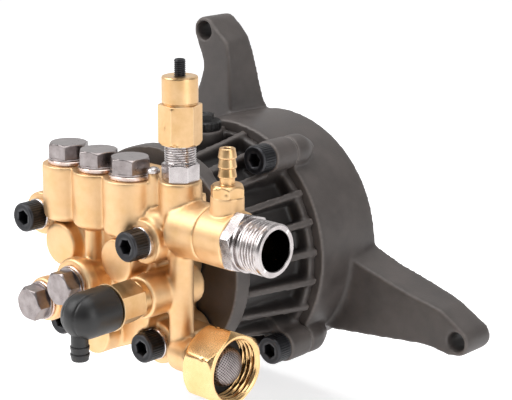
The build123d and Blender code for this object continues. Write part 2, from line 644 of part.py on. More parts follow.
def head_casting():
    body = Pos(0, HEAD_REAR_Y, 0) * (Plane.XZ * extrude(head_base(0), HEAD_DEPTH + 6.0))
    for x, z, seat in HEAD_BOLTS:
        body += cyl_y(x, z, seat, HEAD_REAR_Y, HEAD_LUG_RADIUS)
    for sign in (-1, 1):
        body += block(sign * 12, sign * TOP_BOLT_X, HEAD_REAR_Y - 26.0, HEAD_REAR_Y, 15.0, 32.0)
        body += block(sign * 8, sign * LOW_BOLT_X, HEAD_REAR_Y - 20.0, HEAD_REAR_Y, -33.0, -18.0)
    # upper block that carries the three towers
    body += block(-TOWER_PITCH - 9.5, TOWER_PITCH + 9.5, TOWER_Y, HEAD_REAR_Y - 8.0, 14.0, TOWER_TOP_Z)
    for x in TOWER_X:
        tower = cyl_z(x, TOWER_Y, TOWER_BOTTOM_Z, TOWER_TOP_Z, TOWER_RADIUS)
        body += fillet(tower.edges().group_by(Axis.Z)[0], 3.0)
    body += cyl_z(0, NECK_Y, 2.0, TOWER_BOTTOM_Z + 2.0, NECK_RADIUS)
    # body between the towers, the pads and the centre boss
    web = make_hull([edge for x, z in ((-PAD_X, PAD_Z), (PAD_X, PAD_Z), CENTRE_PLUG, (0, TOWER_BOTTOM_Z))
                     for edge in (Pos(x, z) * Circle(WEB_CORNER_RADIUS)).edges()])
    body += Pos(0, HEAD_REAR_Y, 0) * (Plane.XZ * extrude(make_face(web), HEAD_REAR_Y - WEB_FRONT_Y))
    # round pads that close the plunger bores
    for sign in (-1, 1):
        body += cyl_y(sign * PAD_X, PAD_Z, PAD_FRONT_Y, HEAD_REAR_Y - 10.0, PAD_RADIUS)
    body += cyl_y(0, PLUNGER_PLACES[2][1], LOW_PAD_FRONT_Y, HEAD_REAR_Y, LOW_PAD_RADIUS)
    body += revolved_boss(*CENTRE_PLUG, CENTRE_BOSS_RADIUS, CENTRE_BOSS_NECK, FRONT_BOSS_Y, HEAD_FRONT_Y)
    body += revolved_boss(*LEFT_PLUG, LEFT_BOSS_RADIUS, LEFT_BOSS_RADIUS - 1.2, FRONT_BOSS_Y, HEAD_FRONT_Y)
    # relief valve boss
    body += cyl_y(THERMAL_X, THERMAL_Z, THERMAL_BOSS_Y, HEAD_REAR_Y - 12.0, THERMAL_BOSS_RADIUS)
    body += block(14.0, THERMAL_X, HEAD_FRONT_Y, HEAD_REAR_Y - 12.0, THERMAL_Z - 7.0, THERMAL_Z + 7.0)
    # column on the right: unloader boss on top, outlet block, inlet boss below
    body += cyl_z(COLUMN_X, COLUMN_Y, OUTLET_Z, UNLOADER_BOSS_TOP, UNLOADER_BOSS_RADIUS)
    body += cyl_z(COLUMN_X, COLUMN_Y, INLET_Z, OUTLET_Z, COLUMN_RADIUS)
    outlet = cyl_x(COLUMN_Y, OUTLET_Z, OUTLET_LEFT_X, INJECTOR_LEFT_X, OUTLET_RADIUS)
    body += fillet(outlet.edges().group_by(Axis.X)[0], 3.0)
    inlet = cyl_x(COLUMN_Y, INLET_Z, COLUMN_X - 3.0, INLET_BOSS_RIGHT_X, INLET_BOSS_RADIUS)
    body += fillet(inlet.edges().group_by(Axis.X)[0], 3.0)
    body += cyl_x(RIB_Y, RIB_Z, TOWER_PITCH, COLUMN_X, RIB_RADIUS)
    body += block(TOWER_PITCH, COLUMN_X, -116.0, HEAD_REAR_Y - 10.0, 20.0, 42.0)
    body += cyl_z(BLEED_X, BLEED_Y, RIB_Z, BLEED_POST_TOP, BLEED_POST_RADIUS)
    body += block(TOWER_PITCH, COLUMN_X, -116.0, -108.0, 30.0, 47.0)
    body += block(16.0, COLUMN_X + 2.0, HEAD_FRONT_Y + 4.0, HEAD_REAR_Y - 8.0, INLET_Z - 4.5, INLET_Z + 8.0)
    return body


def head_bores(body):
    for x, z in PLUNGER_PLACES:
        body -= cyl_y(x, z, PACKING_FRONT_Y, HEAD_REAR_Y, PACKING_RADIUS + SEAT)
        body -= cyl_y(x, z, INLET_SEAT_FRONT_Y, HEAD_REAR_Y, CHAMBER_BORE_RADIUS)
        body -= cyl_y(x, z, INLET_SEAT_FRONT_Y - 4.0, HEAD_REAR_Y, GALLERY_RADIUS)
    for x, (bore_x, bore_z) in zip(TOWER_X, PLUNGER_PLACES):
        body -= cyl_z(x, TOWER_Y, DISCHARGE_FLOOR_Z, TOWER_TOP_Z, DISCHARGE_BORE_RADIUS)
        top = Vector(x, TOWER_Y, DISCHARGE_FLOOR_Z + 1.0)
        low = Vector(bore_x, PACKING_FRONT_Y - 6.0, bore_z + 4.0)
        body -= Plane(low, z_dir=top - low) * Cylinder(DRILLING_RADIUS, (top - low).length, align=STANDING)
    plug_end = FRONT_BOSS_Y + FRONT_PLUG_STEM_LENGTH + 2.0
    for x, z in (CENTRE_PLUG, LEFT_PLUG):
        body -= cyl_y(x, z, FRONT_BOSS_Y, plug_end, FRONT_PLUG_STEM_RADIUS + RUN)
        body -= cyl_y(x, z, FRONT_BOSS_Y, GALLERY_Y, GALLERY_RADIUS - 1.0)
    stem_end = THERMAL_BOSS_Y + THERMAL_STEM_LENGTH + 2.0
    body -= cyl_y(THERMAL_X, THERMAL_Z, THERMAL_BOSS_Y, stem_end, THERMAL_STEM_RADIUS + RUN)
    body -= cyl_z(COLUMN_X, COLUMN_Y, OUTLET_Z, UNLOADER_BOSS_TOP, UNLOADER_BORE_RADIUS + RUN)
    body -= cyl_z(COLUMN_X, COLUMN_Y, INLET_Z, OUTLET_Z, COLUMN_BORE_RADIUS)
    body -= cyl_x(COLUMN_Y, OUTLET_Z, COLUMN_X, INJECTOR_LEFT_X, VENTURI_RADIUS)
    body -= cyl_x(COLUMN_Y, INLET_Z, COLUMN_X - 3.0, INLET_BOSS_RIGHT_X, INLET_BORE_RADIUS)
    bleed_floor = BLEED_POST_TOP - BLEED_STEM_LENGTH - 1.0
    body -= cyl_z(BLEED_X, BLEED_Y, bleed_floor, BLEED_POST_TOP, BLEED_STEM_RADIUS + RUN)
    for x, z, seat in HEAD_BOLTS:
        body -= cyl_y(x, z, seat - 12.0, HEAD_REAR_Y, M8_CLEARANCE_RADIUS)
        body -= cyl_y(x, z, seat - 40.0, seat, WASHER_RADIUS + 0.5)
    return body


def pump_head():
    return head_bores(head_casting())


def head_gasket():
    thickness = HEAD_GASKET_THICKNESS - 2 * SEAT
    sheet = Pos(0, CASE_FRONT_Y - SEAT, 0) * (Plane.XZ * extrude(head_base(GASKET_INSET), thickness))
    for x, z, _ in HEAD_BOLTS:
        sheet += cyl_y(x, z, HEAD_REAR_Y + SEAT, CASE_FRONT_Y - SEAT, HEAD_LUG_RADIUS - GASKET_INSET)
    for x, z in PLUNGER_PLACES:
        sheet -= cyl_y(x, z, HEAD_REAR_Y, CASE_FRONT_Y, PLUNGER_RADIUS + 1.5)
    for x, z, _ in HEAD_BOLTS:
        sheet -= cyl_y(x, z, HEAD_REAR_Y, CASE_FRONT_Y, M8_CLEARANCE_RADIUS)
    return sheet


# ---------------------------------------------------------------- valves and plugs
def inlet_seats():
    for x, z in PLUNGER_PLACES:
        seat = ring(GALLERY_RADIUS - 0.6, CHAMBER_BORE_RADIUS - SEAT, INLET_SEAT_LENGTH)
        yield toward("+Y", x, INLET_SEAT_FRONT_Y + SEAT, z) * seat


def inlet_poppet(x, z):
    flange = POPPET_RADIUS + 0.6
    head = turned((0, 0), (flange, 0), (flange, INLET_FLANGE_THICKNESS),
                  (INLET_STEM_RADIUS, INLET_FLANGE_THICKNESS + 0.3),
                  (INLET_STEM_RADIUS, INLET_STEM_LENGTH), (0, INLET_STEM_LENGTH))
    return toward("+Y", x, INLET_SEAT_REAR_Y + 2 * SEAT, z) * head


def inlet_cages():
    """Slotted cups behind the inlet seats that hold the springs and guide the stems."""
    outer = CHAMBER_BORE_RADIUS - SEAT
    for x, z in PLUNGER_PLACES:
        cup = ring(outer - CAGE_WALL, outer, CAGE_LENGTH)
        end = ring(INLET_STEM_RADIUS + GAP, outer, CAGE_END_THICKNESS)
        cup += Pos(0, 0, CAGE_LENGTH - CAGE_END_THICKNESS) * end
        slot_top = CAGE_LENGTH - 2 * CAGE_END_THICKNESS
        half = CAGE_SLOT_WIDTH / 2
        slot = block(-outer, outer, -half, half, 2 * CAGE_END_THICKNESS, slot_top)
        for turn in (0, 60, 120):
            cup -= Rot(0, 0, turn) * slot
        yield toward("+Y", x, INLET_SEAT_REAR_Y + SEAT, z) * cup


def inlet_springs():
    start = INLET_SEAT_REAR_Y + INLET_FLANGE_THICKNESS + 2 * SEAT + GAP
    height = CAGE_REAR_Y - CAGE_END_THICKNESS - GAP - start
    for x, z in PLUNGER_PLACES:
        yield toward("+Y", x, start, z) * coil(INLET_SPRING_RADIUS, INLET_SPRING_WIRE, height, 3)


def discharge_seats():
    for x in TOWER_X:
        seat = ring(DRILLING_RADIUS, DISCHARGE_BORE_RADIUS - SEAT, DISCHARGE_SEAT_LENGTH)
        yield Pos(x, TOWER_Y, DISCHARGE_FLOOR_Z + SEAT) * seat


def discharge_poppet(x):
    head = turned((0, 0), (POPPET_RADIUS, 0), (POPPET_RADIUS, POPPET_HEIGHT - 1.4), (1.6, POPPET_HEIGHT),
                  (1.6, POPPET_HEIGHT + 2.0), (0, POPPET_HEIGHT + 2.0))
    return Pos(x, TOWER_Y, DISCHARGE_FLOOR_Z + DISCHARGE_SEAT_LENGTH + 2 * SEAT) * head


def discharge_springs():
    low = DISCHARGE_FLOOR_Z + DISCHARGE_SEAT_LENGTH + POPPET_HEIGHT - 0.5
    high = TOWER_TOP_Z - PLUG_STEM_LENGTH
    for x in TOWER_X:
        spring = coil(DISCHARGE_SPRING_RADIUS, DISCHARGE_SPRING_WIRE, high - low - GAP, 4)
        yield Pos(x, TOWER_Y, low) * spring


def hex_plug(across_flats, hex_height, flange_radius, flange_height, ring_height,
             stem_radius, stem_length, turn):
    """Plug standing on z = 0, its stem below and its sealing ring between."""
    low = ring_height + SEAT
    head = Pos(0, 0, low + flange_height) * hex_prism(across_flats, hex_height, turn)
    corner = across_flats / sqrt(3)
    cone = turned((0, low), (corner + 1, low), (corner + 1, low + flange_height + hex_height - 1.4),
                  (corner - 1.2, low + flange_height + hex_height), (0, low + flange_height + hex_height))
    flange = cyl_z(0, 0, low, low + flange_height, flange_radius)
    stem = cyl_z(0, 0, -stem_length, low + 0.5, stem_radius - SEAT)
    return (head & cone) + flange + stem


def discharge_plugs():
    for x, turn in zip(TOWER_X, (8.0, 22.0, 14.0)):
        plug = hex_plug(PLUG_HEX, PLUG_HEX_HEIGHT, PLUG_FLANGE_RADIUS, PLUG_FLANGE_HEIGHT,
                        PLUG_RING_HEIGHT, PLUG_STEM_RADIUS, PLUG_STEM_LENGTH, turn)
        yield Pos(x, TOWER_Y, TOWER_TOP_Z) * plug


def discharge_rings():
    for x in TOWER_X:
        washer = ring(PLUG_STEM_RADIUS + RUN, PLUG_RING_RADIUS, PLUG_RING_HEIGHT)
        yield Pos(x, TOWER_Y, TOWER_TOP_Z + SEAT / 2) * washer


def front_plugs():
    for (x, z), turn in ((CENTRE_PLUG, 10.0), (LEFT_PLUG, -6.0)):
        plug = hex_plug(FRONT_PLUG_HEX, FRONT_PLUG_HEX_HEIGHT, FRONT_PLUG_FLANGE_RADIUS,
                        FRONT_PLUG_FLANGE_HEIGHT, FRONT_PLUG_RING_HEIGHT, FRONT_PLUG_STEM_RADIUS,
                        FRONT_PLUG_STEM_LENGTH, turn)
        yield toward("-Y", x, FRONT_BOSS_Y, z) * plug


def front_rings():
    outer = FRONT_PLUG_FLANGE_RADIUS + 0.4
    for x, z in (CENTRE_PLUG, LEFT_PLUG):
        washer = ring(FRONT_PLUG_STEM_RADIUS + RUN, outer, FRONT_PLUG_RING_HEIGHT)
        yield toward("-Y", x, FRONT_BOSS_Y - SEAT / 2, z) * washer


def oil_fill_plug():
    cap = turned((0, 0), (8.2, 0), (8.6, 1.0), (8.6, 3.4), (7.8, 4.2), (0, 4.2))
    grip = Pos(0, 0, 4.0) * hex_prism(9.0, 3.0)
    stem = cyl_z(0, 0, -OIL_STEM_LENGTH, 0.5, OIL_STEM_RADIUS)
    return Pos(OIL_BOSS_X, OIL_BOSS_Y, OIL_BOSS_TOP + SEAT) * (cap + grip + stem)


def bleed_screw():
    dome = Pos(0, 0, -1.2) * Sphere(BLEED_HEAD_RADIUS + 1.0)
    head = cyl_z(0, 0, 0, BLEED_HEAD_HEIGHT, BLEED_HEAD_RADIUS) & dome
    slot = block(-4, 4, -0.35, 0.35, BLEED_HEAD_HEIGHT - 0.9, BLEED_HEAD_HEIGHT + 1)
    stem = cyl_z(0, 0, -BLEED_STEM_LENGTH, 0.5, BLEED_STEM_RADIUS)
    return Pos(BLEED_X, BLEED_Y, BLEED_POST_TOP + SEAT) * (head + stem - slot)


# ---------------------------------------------------------------- unloader
def unloader_body():
    flats = hex_prism(UNLOADER_HEX, UNLOADER_HEX_HEIGHT, UNLOADER_HEX_TURN)
    nut = Pos(0, 0, UNLOADER_BOSS_TOP + SEAT) * flats
    stem = cyl_z(0, 0, UNLOADER_BOSS_TOP + 2.0, UNLOADER_STEM_TOP, UNLOADER_THREAD_RADIUS)
    spigot = cyl_z(0, 0, UNLOADER_BOSS_TOP - 7.0, UNLOADER_BOSS_TOP + 2.0, UNLOADER_BORE_RADIUS)
    bore = cyl_z(0, 0, UNLOADER_PISTON_TOP_Z - 1.0, UNLOADER_STEM_TOP, UNLOADER_STEM_BORE + RUN)
    rod_hole = cyl_z(0, 0, UNLOADER_BOSS_TOP - 8.0, UNLOADER_STEM_TOP, PISTON_ROD_RADIUS + RUN)
    return Pos(COLUMN_X, COLUMN_Y, 0) * (nut + stem + spigot - bore - rod_hole)


def unloader_cap():
    height = CAP_HEX_TOP_Z - CAP_BOTTOM_Z
    flats = Pos(0, 0, CAP_BOTTOM_Z) * hex_prism(CAP_HEX, height, CAP_HEX_TURN)
    corner = CAP_HEX / sqrt(3)
    trim = turned((0, CAP_BOTTOM_Z), (corner - 1.0, CAP_BOTTOM_Z), (corner + 0.6, CAP_BOTTOM_Z + 1.6),
                  (corner + 0.6, CAP_HEX_TOP_Z), (0, CAP_HEX_TOP_Z))
    top = turned((0, CAP_HEX_TOP_Z - 1), (CAP_ROUND_RADIUS, CAP_HEX_TOP_Z - 1),
                 (CAP_ROUND_RADIUS, CAP_TOP_Z - 0.8), (CAP_ROUND_RADIUS - 0.8, CAP_TOP_Z), (0, CAP_TOP_Z))
    hollow = cyl_z(0, 0, CAP_BOTTOM_Z, CAP_HEX_TOP_Z, UNLOADER_THREAD_RADIUS + RUN)
    hollow += cyl_z(0, 0, CAP_HEX_TOP_Z, CAP_TOP_Z - CAP_ROOF, CAP_UPPER_BORE)
    tapped = cyl_z(0, 0, CAP_BOTTOM_Z, CAP_TOP_Z, STOP_SCREW_RADIUS + SEAT)
    return Pos(COLUMN_X, COLUMN_Y, 0) * ((flats & trim) + top - hollow - tapped)


def stop_screw():
    body = turned((0, CAP_TOP_Z - CAP_ROOF), (STOP_SCREW_RADIUS, CAP_TOP_Z - CAP_ROOF),
                  (STOP_SCREW_RADIUS, STOP_SCREW_TOP_Z - 0.5), (STOP_SCREW_RADIUS - 0.5, STOP_SCREW_TOP_Z),
                  (0, STOP_SCREW_TOP_Z))
    socket = Pos(0, 0, STOP_SCREW_TOP_Z - 2.5) * hex_prism(2.5, 3.0)
    return Pos(COLUMN_X, COLUMN_Y, 0) * (body - socket)


PUSHER_TOP_Z = CAP_TOP_Z - CAP_ROOF - GAP


def unloader_pusher():
    """Button that the cap presses down on the spring."""
    button = cyl_z(0, 0, PUSHER_TOP_Z - PUSHER_HEIGHT, PUSHER_TOP_Z, UNLOADER_STEM_BORE - 0.2)
    nose = cyl_z(0, 0, PUSHER_TOP_Z - PUSHER_HEIGHT - 3.0, PUSHER_TOP_Z, 2.4)
    return Pos(COLUMN_X, COLUMN_Y, 0) * (button + nose)


def unloader_spring():
    low = UNLOADER_PISTON_TOP_Z + GAP
    high = PUSHER_TOP_Z - PUSHER_HEIGHT - GAP
    wire = UNLOADER_SPRING_WIRE
    spring = coil(UNLOADER_STEM_BORE - wire - GAP, wire, high - low, UNLOADER_SPRING_TURNS)
    return Pos(COLUMN_X, COLUMN_Y, low) * spring


def unloader_piston():
    collar = cyl_z(0, 0, UNLOADER_PISTON_TOP_Z - 0.9, UNLOADER_PISTON_TOP_Z, UNLOADER_STEM_BORE - 0.2)
    rod = cyl_z(0, 0, UNLOADER_PISTON_BOTTOM_Z, UNLOADER_PISTON_TOP_Z, PISTON_ROD_RADIUS)
    tip = cyl_z(0, 0, UNLOADER_PISTON_BOTTOM_Z, UNLOADER_PISTON_BOTTOM_Z + 3.0, 4.2)
    return Pos(COLUMN_X, COLUMN_Y, 0) * (collar + rod + tip)


# ---------------------------------------------------------------- outlet and detergent injector
CHECK_STEP_Z = BARB_BOSS_TOP - BARB_STEM_LENGTH - GAP
CHECK_BALL_Z = BARB_BOSS_TOP + SEAT + BALL_POCKET_RISE - CHECK_BALL_RADIUS - GAP


def injector_body():
    shell = cyl_x(COLUMN_Y, OUTLET_Z, INJECTOR_LEFT_X + SEAT, INJECTOR_RIGHT_X, OUTLET_RADIUS)
    shell = fillet(shell.edges().group_by(Axis.X)[0], 0.5)
    shell += cyl_z(BARB_X, BARB_Y, OUTLET_Z, BARB_BOSS_TOP, BARB_BOSS_RADIUS)
    shell -= cyl_x(COLUMN_Y, OUTLET_Z, INJECTOR_RIGHT_X - NIPPLE_SPIGOT_LENGTH - GAP, INJECTOR_RIGHT_X,
                   NIPPLE_SPIGOT_RADIUS + RUN)
    shell -= cyl_x(COLUMN_Y, OUTLET_Z, INJECTOR_LEFT_X, INJECTOR_RIGHT_X, VENTURI_RADIUS)
    shell -= cyl_z(BARB_X, BARB_Y, CHECK_STEP_Z, BARB_BOSS_TOP, BARB_STEM_RADIUS + RUN)
    shell -= cyl_z(BARB_X, BARB_Y, OUTLET_Z + 2.0, CHECK_STEP_Z, CHECK_STEP_RADIUS)
    return shell


def venturi():
    outer = VENTURI_RADIUS - RUN
    body = turned((outer - 1.0, 0), (outer, 0), (outer, VENTURI_LENGTH),
                  (VENTURI_THROAT_RADIUS + 0.8, VENTURI_LENGTH),
                  (VENTURI_THROAT_RADIUS, VENTURI_LENGTH - 6.0))
    return toward("+X", INJECTOR_LEFT_X - 6.0, COLUMN_Y, OUTLET_Z) * body


def outlet_nipple():
    prism = hex_prism(NIPPLE_HEX, NIPPLE_HEX_LENGTH, NIPPLE_HEX_TURN)
    flats = toward("+X", INJECTOR_RIGHT_X + SEAT, COLUMN_Y, OUTLET_Z) * prism
    collar_x = INJECTOR_RIGHT_X + SEAT + NIPPLE_HEX_LENGTH
    thread_x = collar_x + NIPPLE_COLLAR_LENGTH
    round_part = toward("+X", collar_x, COLUMN_Y, OUTLET_Z) * turned(
        (0, 0), (NIPPLE_COLLAR_RADIUS, 0), (NIPPLE_COLLAR_RADIUS, NIPPLE_COLLAR_LENGTH),
        (NIPPLE_THREAD_RADIUS, NIPPLE_COLLAR_LENGTH), (NIPPLE_THREAD_RADIUS, NIPPLE_RIGHT_X - collar_x - 0.8),
        (NIPPLE_THREAD_RADIUS - 0.8, NIPPLE_RIGHT_X - collar_x), (0, NIPPLE_RIGHT_X - collar_x))
    left = INJECTOR_RIGHT_X - NIPPLE_SPIGOT_LENGTH
    spigot = cyl_x(COLUMN_Y, OUTLET_Z, left, thread_x, NIPPLE_SPIGOT_RADIUS)
    bore = cyl_x(COLUMN_Y, OUTLET_Z, left, NIPPLE_RIGHT_X, OUTLET_BORE_RADIUS)
    return flats + round_part + spigot - bore


def barb_profile(length, core, lip, lips, plain):
    """Hose barb along +Z from z = 0: a plain stretch, then lips that slope to the tip."""
    step = (length - plain) / lips
    points = [(0, 0), (core, 0), (core, plain)]
    for index in range(lips):
        low = plain + index * step
        points += [(lip, low), (lip, low + 0.5), (core, low + step)]
    return [*points, (0, length)]


def detergent_barb():
    low = BARB_BOSS_TOP + SEAT
    stem = cyl_z(0, 0, low - BARB_STEM_LENGTH, low, BARB_STEM_RADIUS)
    flats = Pos(0, 0, low) * hex_prism(BARB_HEX, BARB_HEX_HEIGHT, 20.0)
    corner = BARB_HEX / sqrt(3)
    trim = turned((0, low), (corner + 0.2, low), (corner + 0.2, low + BARB_HEX_HEIGHT - 1.6),
                  (corner - 1.4, low + BARB_HEX_HEIGHT), (0, low + BARB_HEX_HEIGHT))
    tail = Pos(0, 0, low + BARB_HEX_HEIGHT) * turned(
        *barb_profile(BARB_TOP_Z - low - BARB_HEX_HEIGHT, BARB_CORE_RADIUS, BARB_LIP_RADIUS, 3, 3.0))
    bore = cyl_z(0, 0, low - BARB_STEM_LENGTH, BARB_TOP_Z, BARB_BORE_RADIUS)
    pocket = cyl_z(0, 0, low - BARB_STEM_LENGTH, low + BALL_POCKET_RISE, CHECK_BALL_RADIUS + 0.4)
    return Pos(BARB_X, BARB_Y, 0) * (stem + (flats & trim) + tail - bore - pocket)


def check_ball():
    return Pos(BARB_X, BARB_Y, CHECK_BALL_Z) * Sphere(CHECK_BALL_RADIUS)


def check_spring():
    """Light spring that stands on the step in the injector and lifts the ball to its seat."""
    low = CHECK_STEP_Z + GAP
    inner = CHECK_SPRING_RADIUS - CHECK_SPRING_WIRE
    top = CHECK_BALL_Z - sqrt(CHECK_BALL_RADIUS ** 2 - inner ** 2) - GAP
    spring = coil(CHECK_SPRING_RADIUS, CHECK_SPRING_WIRE, top - low, CHECK_SPRING_TURNS)
    return Pos(BARB_X, BARB_Y, low) * spring


# ---------------------------------------------------------------- inlet
TAIL_FACE_X = NUT_LEFT_X + NUT_COLLAR_THICKNESS + GAP + TAIL_FLANGE_LENGTH


def inlet_tailpiece():
    right = TAIL_FACE_X
    flange_x = right - TAIL_FLANGE_LENGTH
    left = INLET_BOSS_RIGHT_X + SEAT
    tube = turned((INLET_BORE_RADIUS, 0), (TAIL_RADIUS - 0.8, 0), (TAIL_RADIUS, 0.8),
                  (TAIL_RADIUS, flange_x - left), (TAIL_FLANGE_RADIUS, flange_x - left),
                  (TAIL_FLANGE_RADIUS, right - left), (INLET_BORE_RADIUS, right - left))
    return toward("+X", left, COLUMN_Y, INLET_Z) * tube


def inlet_swivel_nut():
    length = NUT_RIGHT_X - NUT_LEFT_X
    flats = hex_prism(NUT_HEX, length, 4.0)
    round_trim = turned((0, 0), (NUT_ROUND_RADIUS - 2.6, 0), (NUT_ROUND_RADIUS, 2.2),
                        (NUT_ROUND_RADIUS, length - 1.6), (NUT_ROUND_RADIUS - 1.6, length), (0, length))
    thread = cyl_z(0, 0, NUT_COLLAR_THICKNESS, length, NUT_BORE_RADIUS)
    neck = cyl_z(0, 0, 0, length, TAIL_RADIUS + RUN)
    return toward("+X", NUT_LEFT_X, COLUMN_Y, INLET_Z) * ((flats & round_trim) - thread - neck)


def hose_washer():
    start = TAIL_FACE_X + SEAT
    washer = ring(FILTER_RIM_RADIUS - 0.8, NUT_BORE_RADIUS - GAP, HOSE_WASHER_THICKNESS)
    return toward("+X", start, COLUMN_Y, INLET_Z) * washer


def inlet_filter():
    start = TAIL_FACE_X + HOSE_WASHER_THICKNESS + 2 * SEAT
    rim = FILTER_RIM_RADIUS
    shell = turned((rim - 2.4, 0), (rim, 0), (rim, 0.8), (rim - 1.4, 0.8), (rim - 2.2, 3.6),
                   (rim - 4.6, FILTER_HEIGHT - 1.2), (0, FILTER_HEIGHT), (0, FILTER_HEIGHT - 0.6),
                   (rim - 5.0, FILTER_HEIGHT - 1.8), (rim - 2.8, 3.2))
    return toward("+X", start, COLUMN_Y, INLET_Z) * shell


# ---------------------------------------------------------------- thermal relief valve
THERMAL_HEX_Y = THERMAL_BOSS_Y - THERMAL_COLLAR_LENGTH - SEAT
ELBOW_REAR_Y = THERMAL_HEX_Y - THERMAL_HEX_LENGTH - THERMAL_RIM_LENGTH - GAP


def thermal_valve():
    collar = cyl_z(0, 0, 0, THERMAL_COLLAR_LENGTH, THERMAL_COLLAR_RADIUS)
    flats = Pos(0, 0, THERMAL_COLLAR_LENGTH) * hex_prism(THERMAL_HEX, THERMAL_HEX_LENGTH, THERMAL_HEX_TURN)
    hex_end = THERMAL_COLLAR_LENGTH + THERMAL_HEX_LENGTH
    neck_low = hex_end + THERMAL_RIM_LENGTH
    rim = cyl_z(0, 0, hex_end, neck_low, THERMAL_RIM_RADIUS)
    neck = cyl_z(0, 0, neck_low, neck_low + THERMAL_NECK_LENGTH, THERMAL_NECK_RADIUS)
    stem = cyl_z(0, 0, -THERMAL_STEM_LENGTH, 0, THERMAL_STEM_RADIUS)
    bore = cyl_z(0, 0, -THERMAL_STEM_LENGTH, neck_low + THERMAL_NECK_LENGTH, ELBOW_BORE_RADIUS)
    valve = collar + flats + rim + neck + stem - bore
    return toward("-Y", THERMAL_X, THERMAL_BOSS_Y - SEAT, THERMAL_Z) * valve


def thermal_elbow():
    """Moulded elbow that turns on the valve's neck; its hose tail points down."""
    length = ELBOW_LENGTH
    straight = length - ELBOW_RADIUS
    barrel = turned((0, 0), (ELBOW_RADIUS - 0.8, 0), (ELBOW_RADIUS, 0.8),
                    (ELBOW_RADIUS, straight), (0, straight))
    barrel += Pos(0, 0, straight) * Sphere(ELBOW_RADIUS)
    socket = cyl_z(0, 0, 0, THERMAL_NECK_LENGTH + GAP, THERMAL_NECK_RADIUS + RUN)
    port = cyl_z(0, 0, 0, length - ELBOW_BARB_FROM_END, ELBOW_BORE_RADIUS)
    body = toward("-Y", THERMAL_X, ELBOW_REAR_Y, THERMAL_Z) * (barrel - socket - port)
    tail_y = ELBOW_REAR_Y - length + ELBOW_BARB_FROM_END
    tail = toward("-Z", THERMAL_X, tail_y, THERMAL_Z) * turned(
        *barb_profile(ELBOW_BARB_LENGTH, ELBOW_BARB_RADIUS, ELBOW_BARB_LIP, 2, 12.0))
    passage = cyl_z(0, 0, 0, ELBOW_BARB_LENGTH, ELBOW_BORE_RADIUS - 0.6)
    return body + tail - toward("-Z", THERMAL_X, tail_y, THERMAL_Z) * passage


# ---------------------------------------------------------------- write every node
def main():
    os.makedirs("parts", exist_ok=True)
    save("mounting_flange", mounting_flange())
    save("crankcase", crankcase())
    save("pump_head", pump_head())
    save("head_gasket", head_gasket())
    save("head_bolts", group(head_bolts()))
    save("head_bolt_washers", group(head_washers()))
    save("case_bolts", group(case_bolts()))
    save("drive_shaft", drive_shaft())
    save("swash_plate", swash_plate())
    save("thrust_bearing", thrust_bearing())
    outer, inner, balls = bearing_races()
    save("shaft_bearing_outer_race", outer)
    save("shaft_bearing_inner_race", inner)
    save("shaft_bearing_balls", group(balls))
    save("shaft_oil_seal", shaft_seal())
    for number, (x, z) in enumerate(PLUNGER_PLACES, 1):
        save(f"plunger_{number}", plunger(x, z))
        save(f"plunger_spring_{number}", plunger_spring(x, z))
        save(f"inlet_poppet_{number}", inlet_poppet(x, z))
        save(f"discharge_poppet_{number}", discharge_poppet(TOWER_X[number - 1]))
    save("plunger_guides", group(plunger_rings(POCKET_FLOOR_Y, GUIDE_LENGTH, GUIDE_RADIUS)))
    save("plunger_oil_seals", group(plunger_rings(GUIDE_FRONT_Y, OIL_SEAL_LENGTH, OIL_SEAL_RADIUS)))
    save("water_seals", group(plunger_rings(HEAD_REAR_Y - SEAT, WATER_SEAL_LENGTH, PACKING_RADIUS)))
    retainers = plunger_rings(WATER_SEAL_FRONT_Y - SEAT, RETAINER_LENGTH, PACKING_RADIUS)
    save("packing_retainers", group(retainers))
    seals = plunger_rings(RETAINER_FRONT_Y - SEAT, PRESSURE_SEAL_LENGTH - SEAT, PACKING_RADIUS)
    save("pressure_seals", group(seals))
    save("inlet_valve_seats", group(inlet_seats()))
    save("inlet_valve_cages", group(inlet_cages()))
    save("inlet_valve_springs", group(inlet_springs()))
    save("discharge_valve_seats", group(discharge_seats()))
    save("discharge_valve_springs", group(discharge_springs()))
    save("discharge_plugs", group(discharge_plugs()))
    save("discharge_plug_rings", group(discharge_rings()))
    save("front_plugs", group(front_plugs()))
    save("front_plug_rings", group(front_rings()))
    save("oil_fill_plug", oil_fill_plug())
    save("bleed_screw", bleed_screw())
    save("unloader_body", unloader_body())
    save("unloader_cap", unloader_cap())
    save("unloader_stop_screw", stop_screw())
    save("unloader_pusher", unloader_pusher())
    save("unloader_spring", unloader_spring())
    save("unloader_piston", unloader_piston())
    save("injector_body", injector_body())
    save("injector_venturi", venturi())
    save("outlet_nipple", outlet_nipple())
    save("detergent_barb", detergent_barb())
    save("detergent_check_ball", check_ball())
    save("detergent_check_spring", check_spring())
    save("inlet_tailpiece", inlet_tailpiece())
    save("inlet_swivel_nut", inlet_swivel_nut())
    save("inlet_hose_washer", hose_washer())
    save("inlet_filter", inlet_filter())
    save("thermal_valve", thermal_valve())
    save("thermal_elbow", thermal_elbow())


main()
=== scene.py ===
import json

import bmesh
import bpy
import numpy as np
from math import cos, pi, radians, sin, sqrt
from mathutils import Matrix, Vector


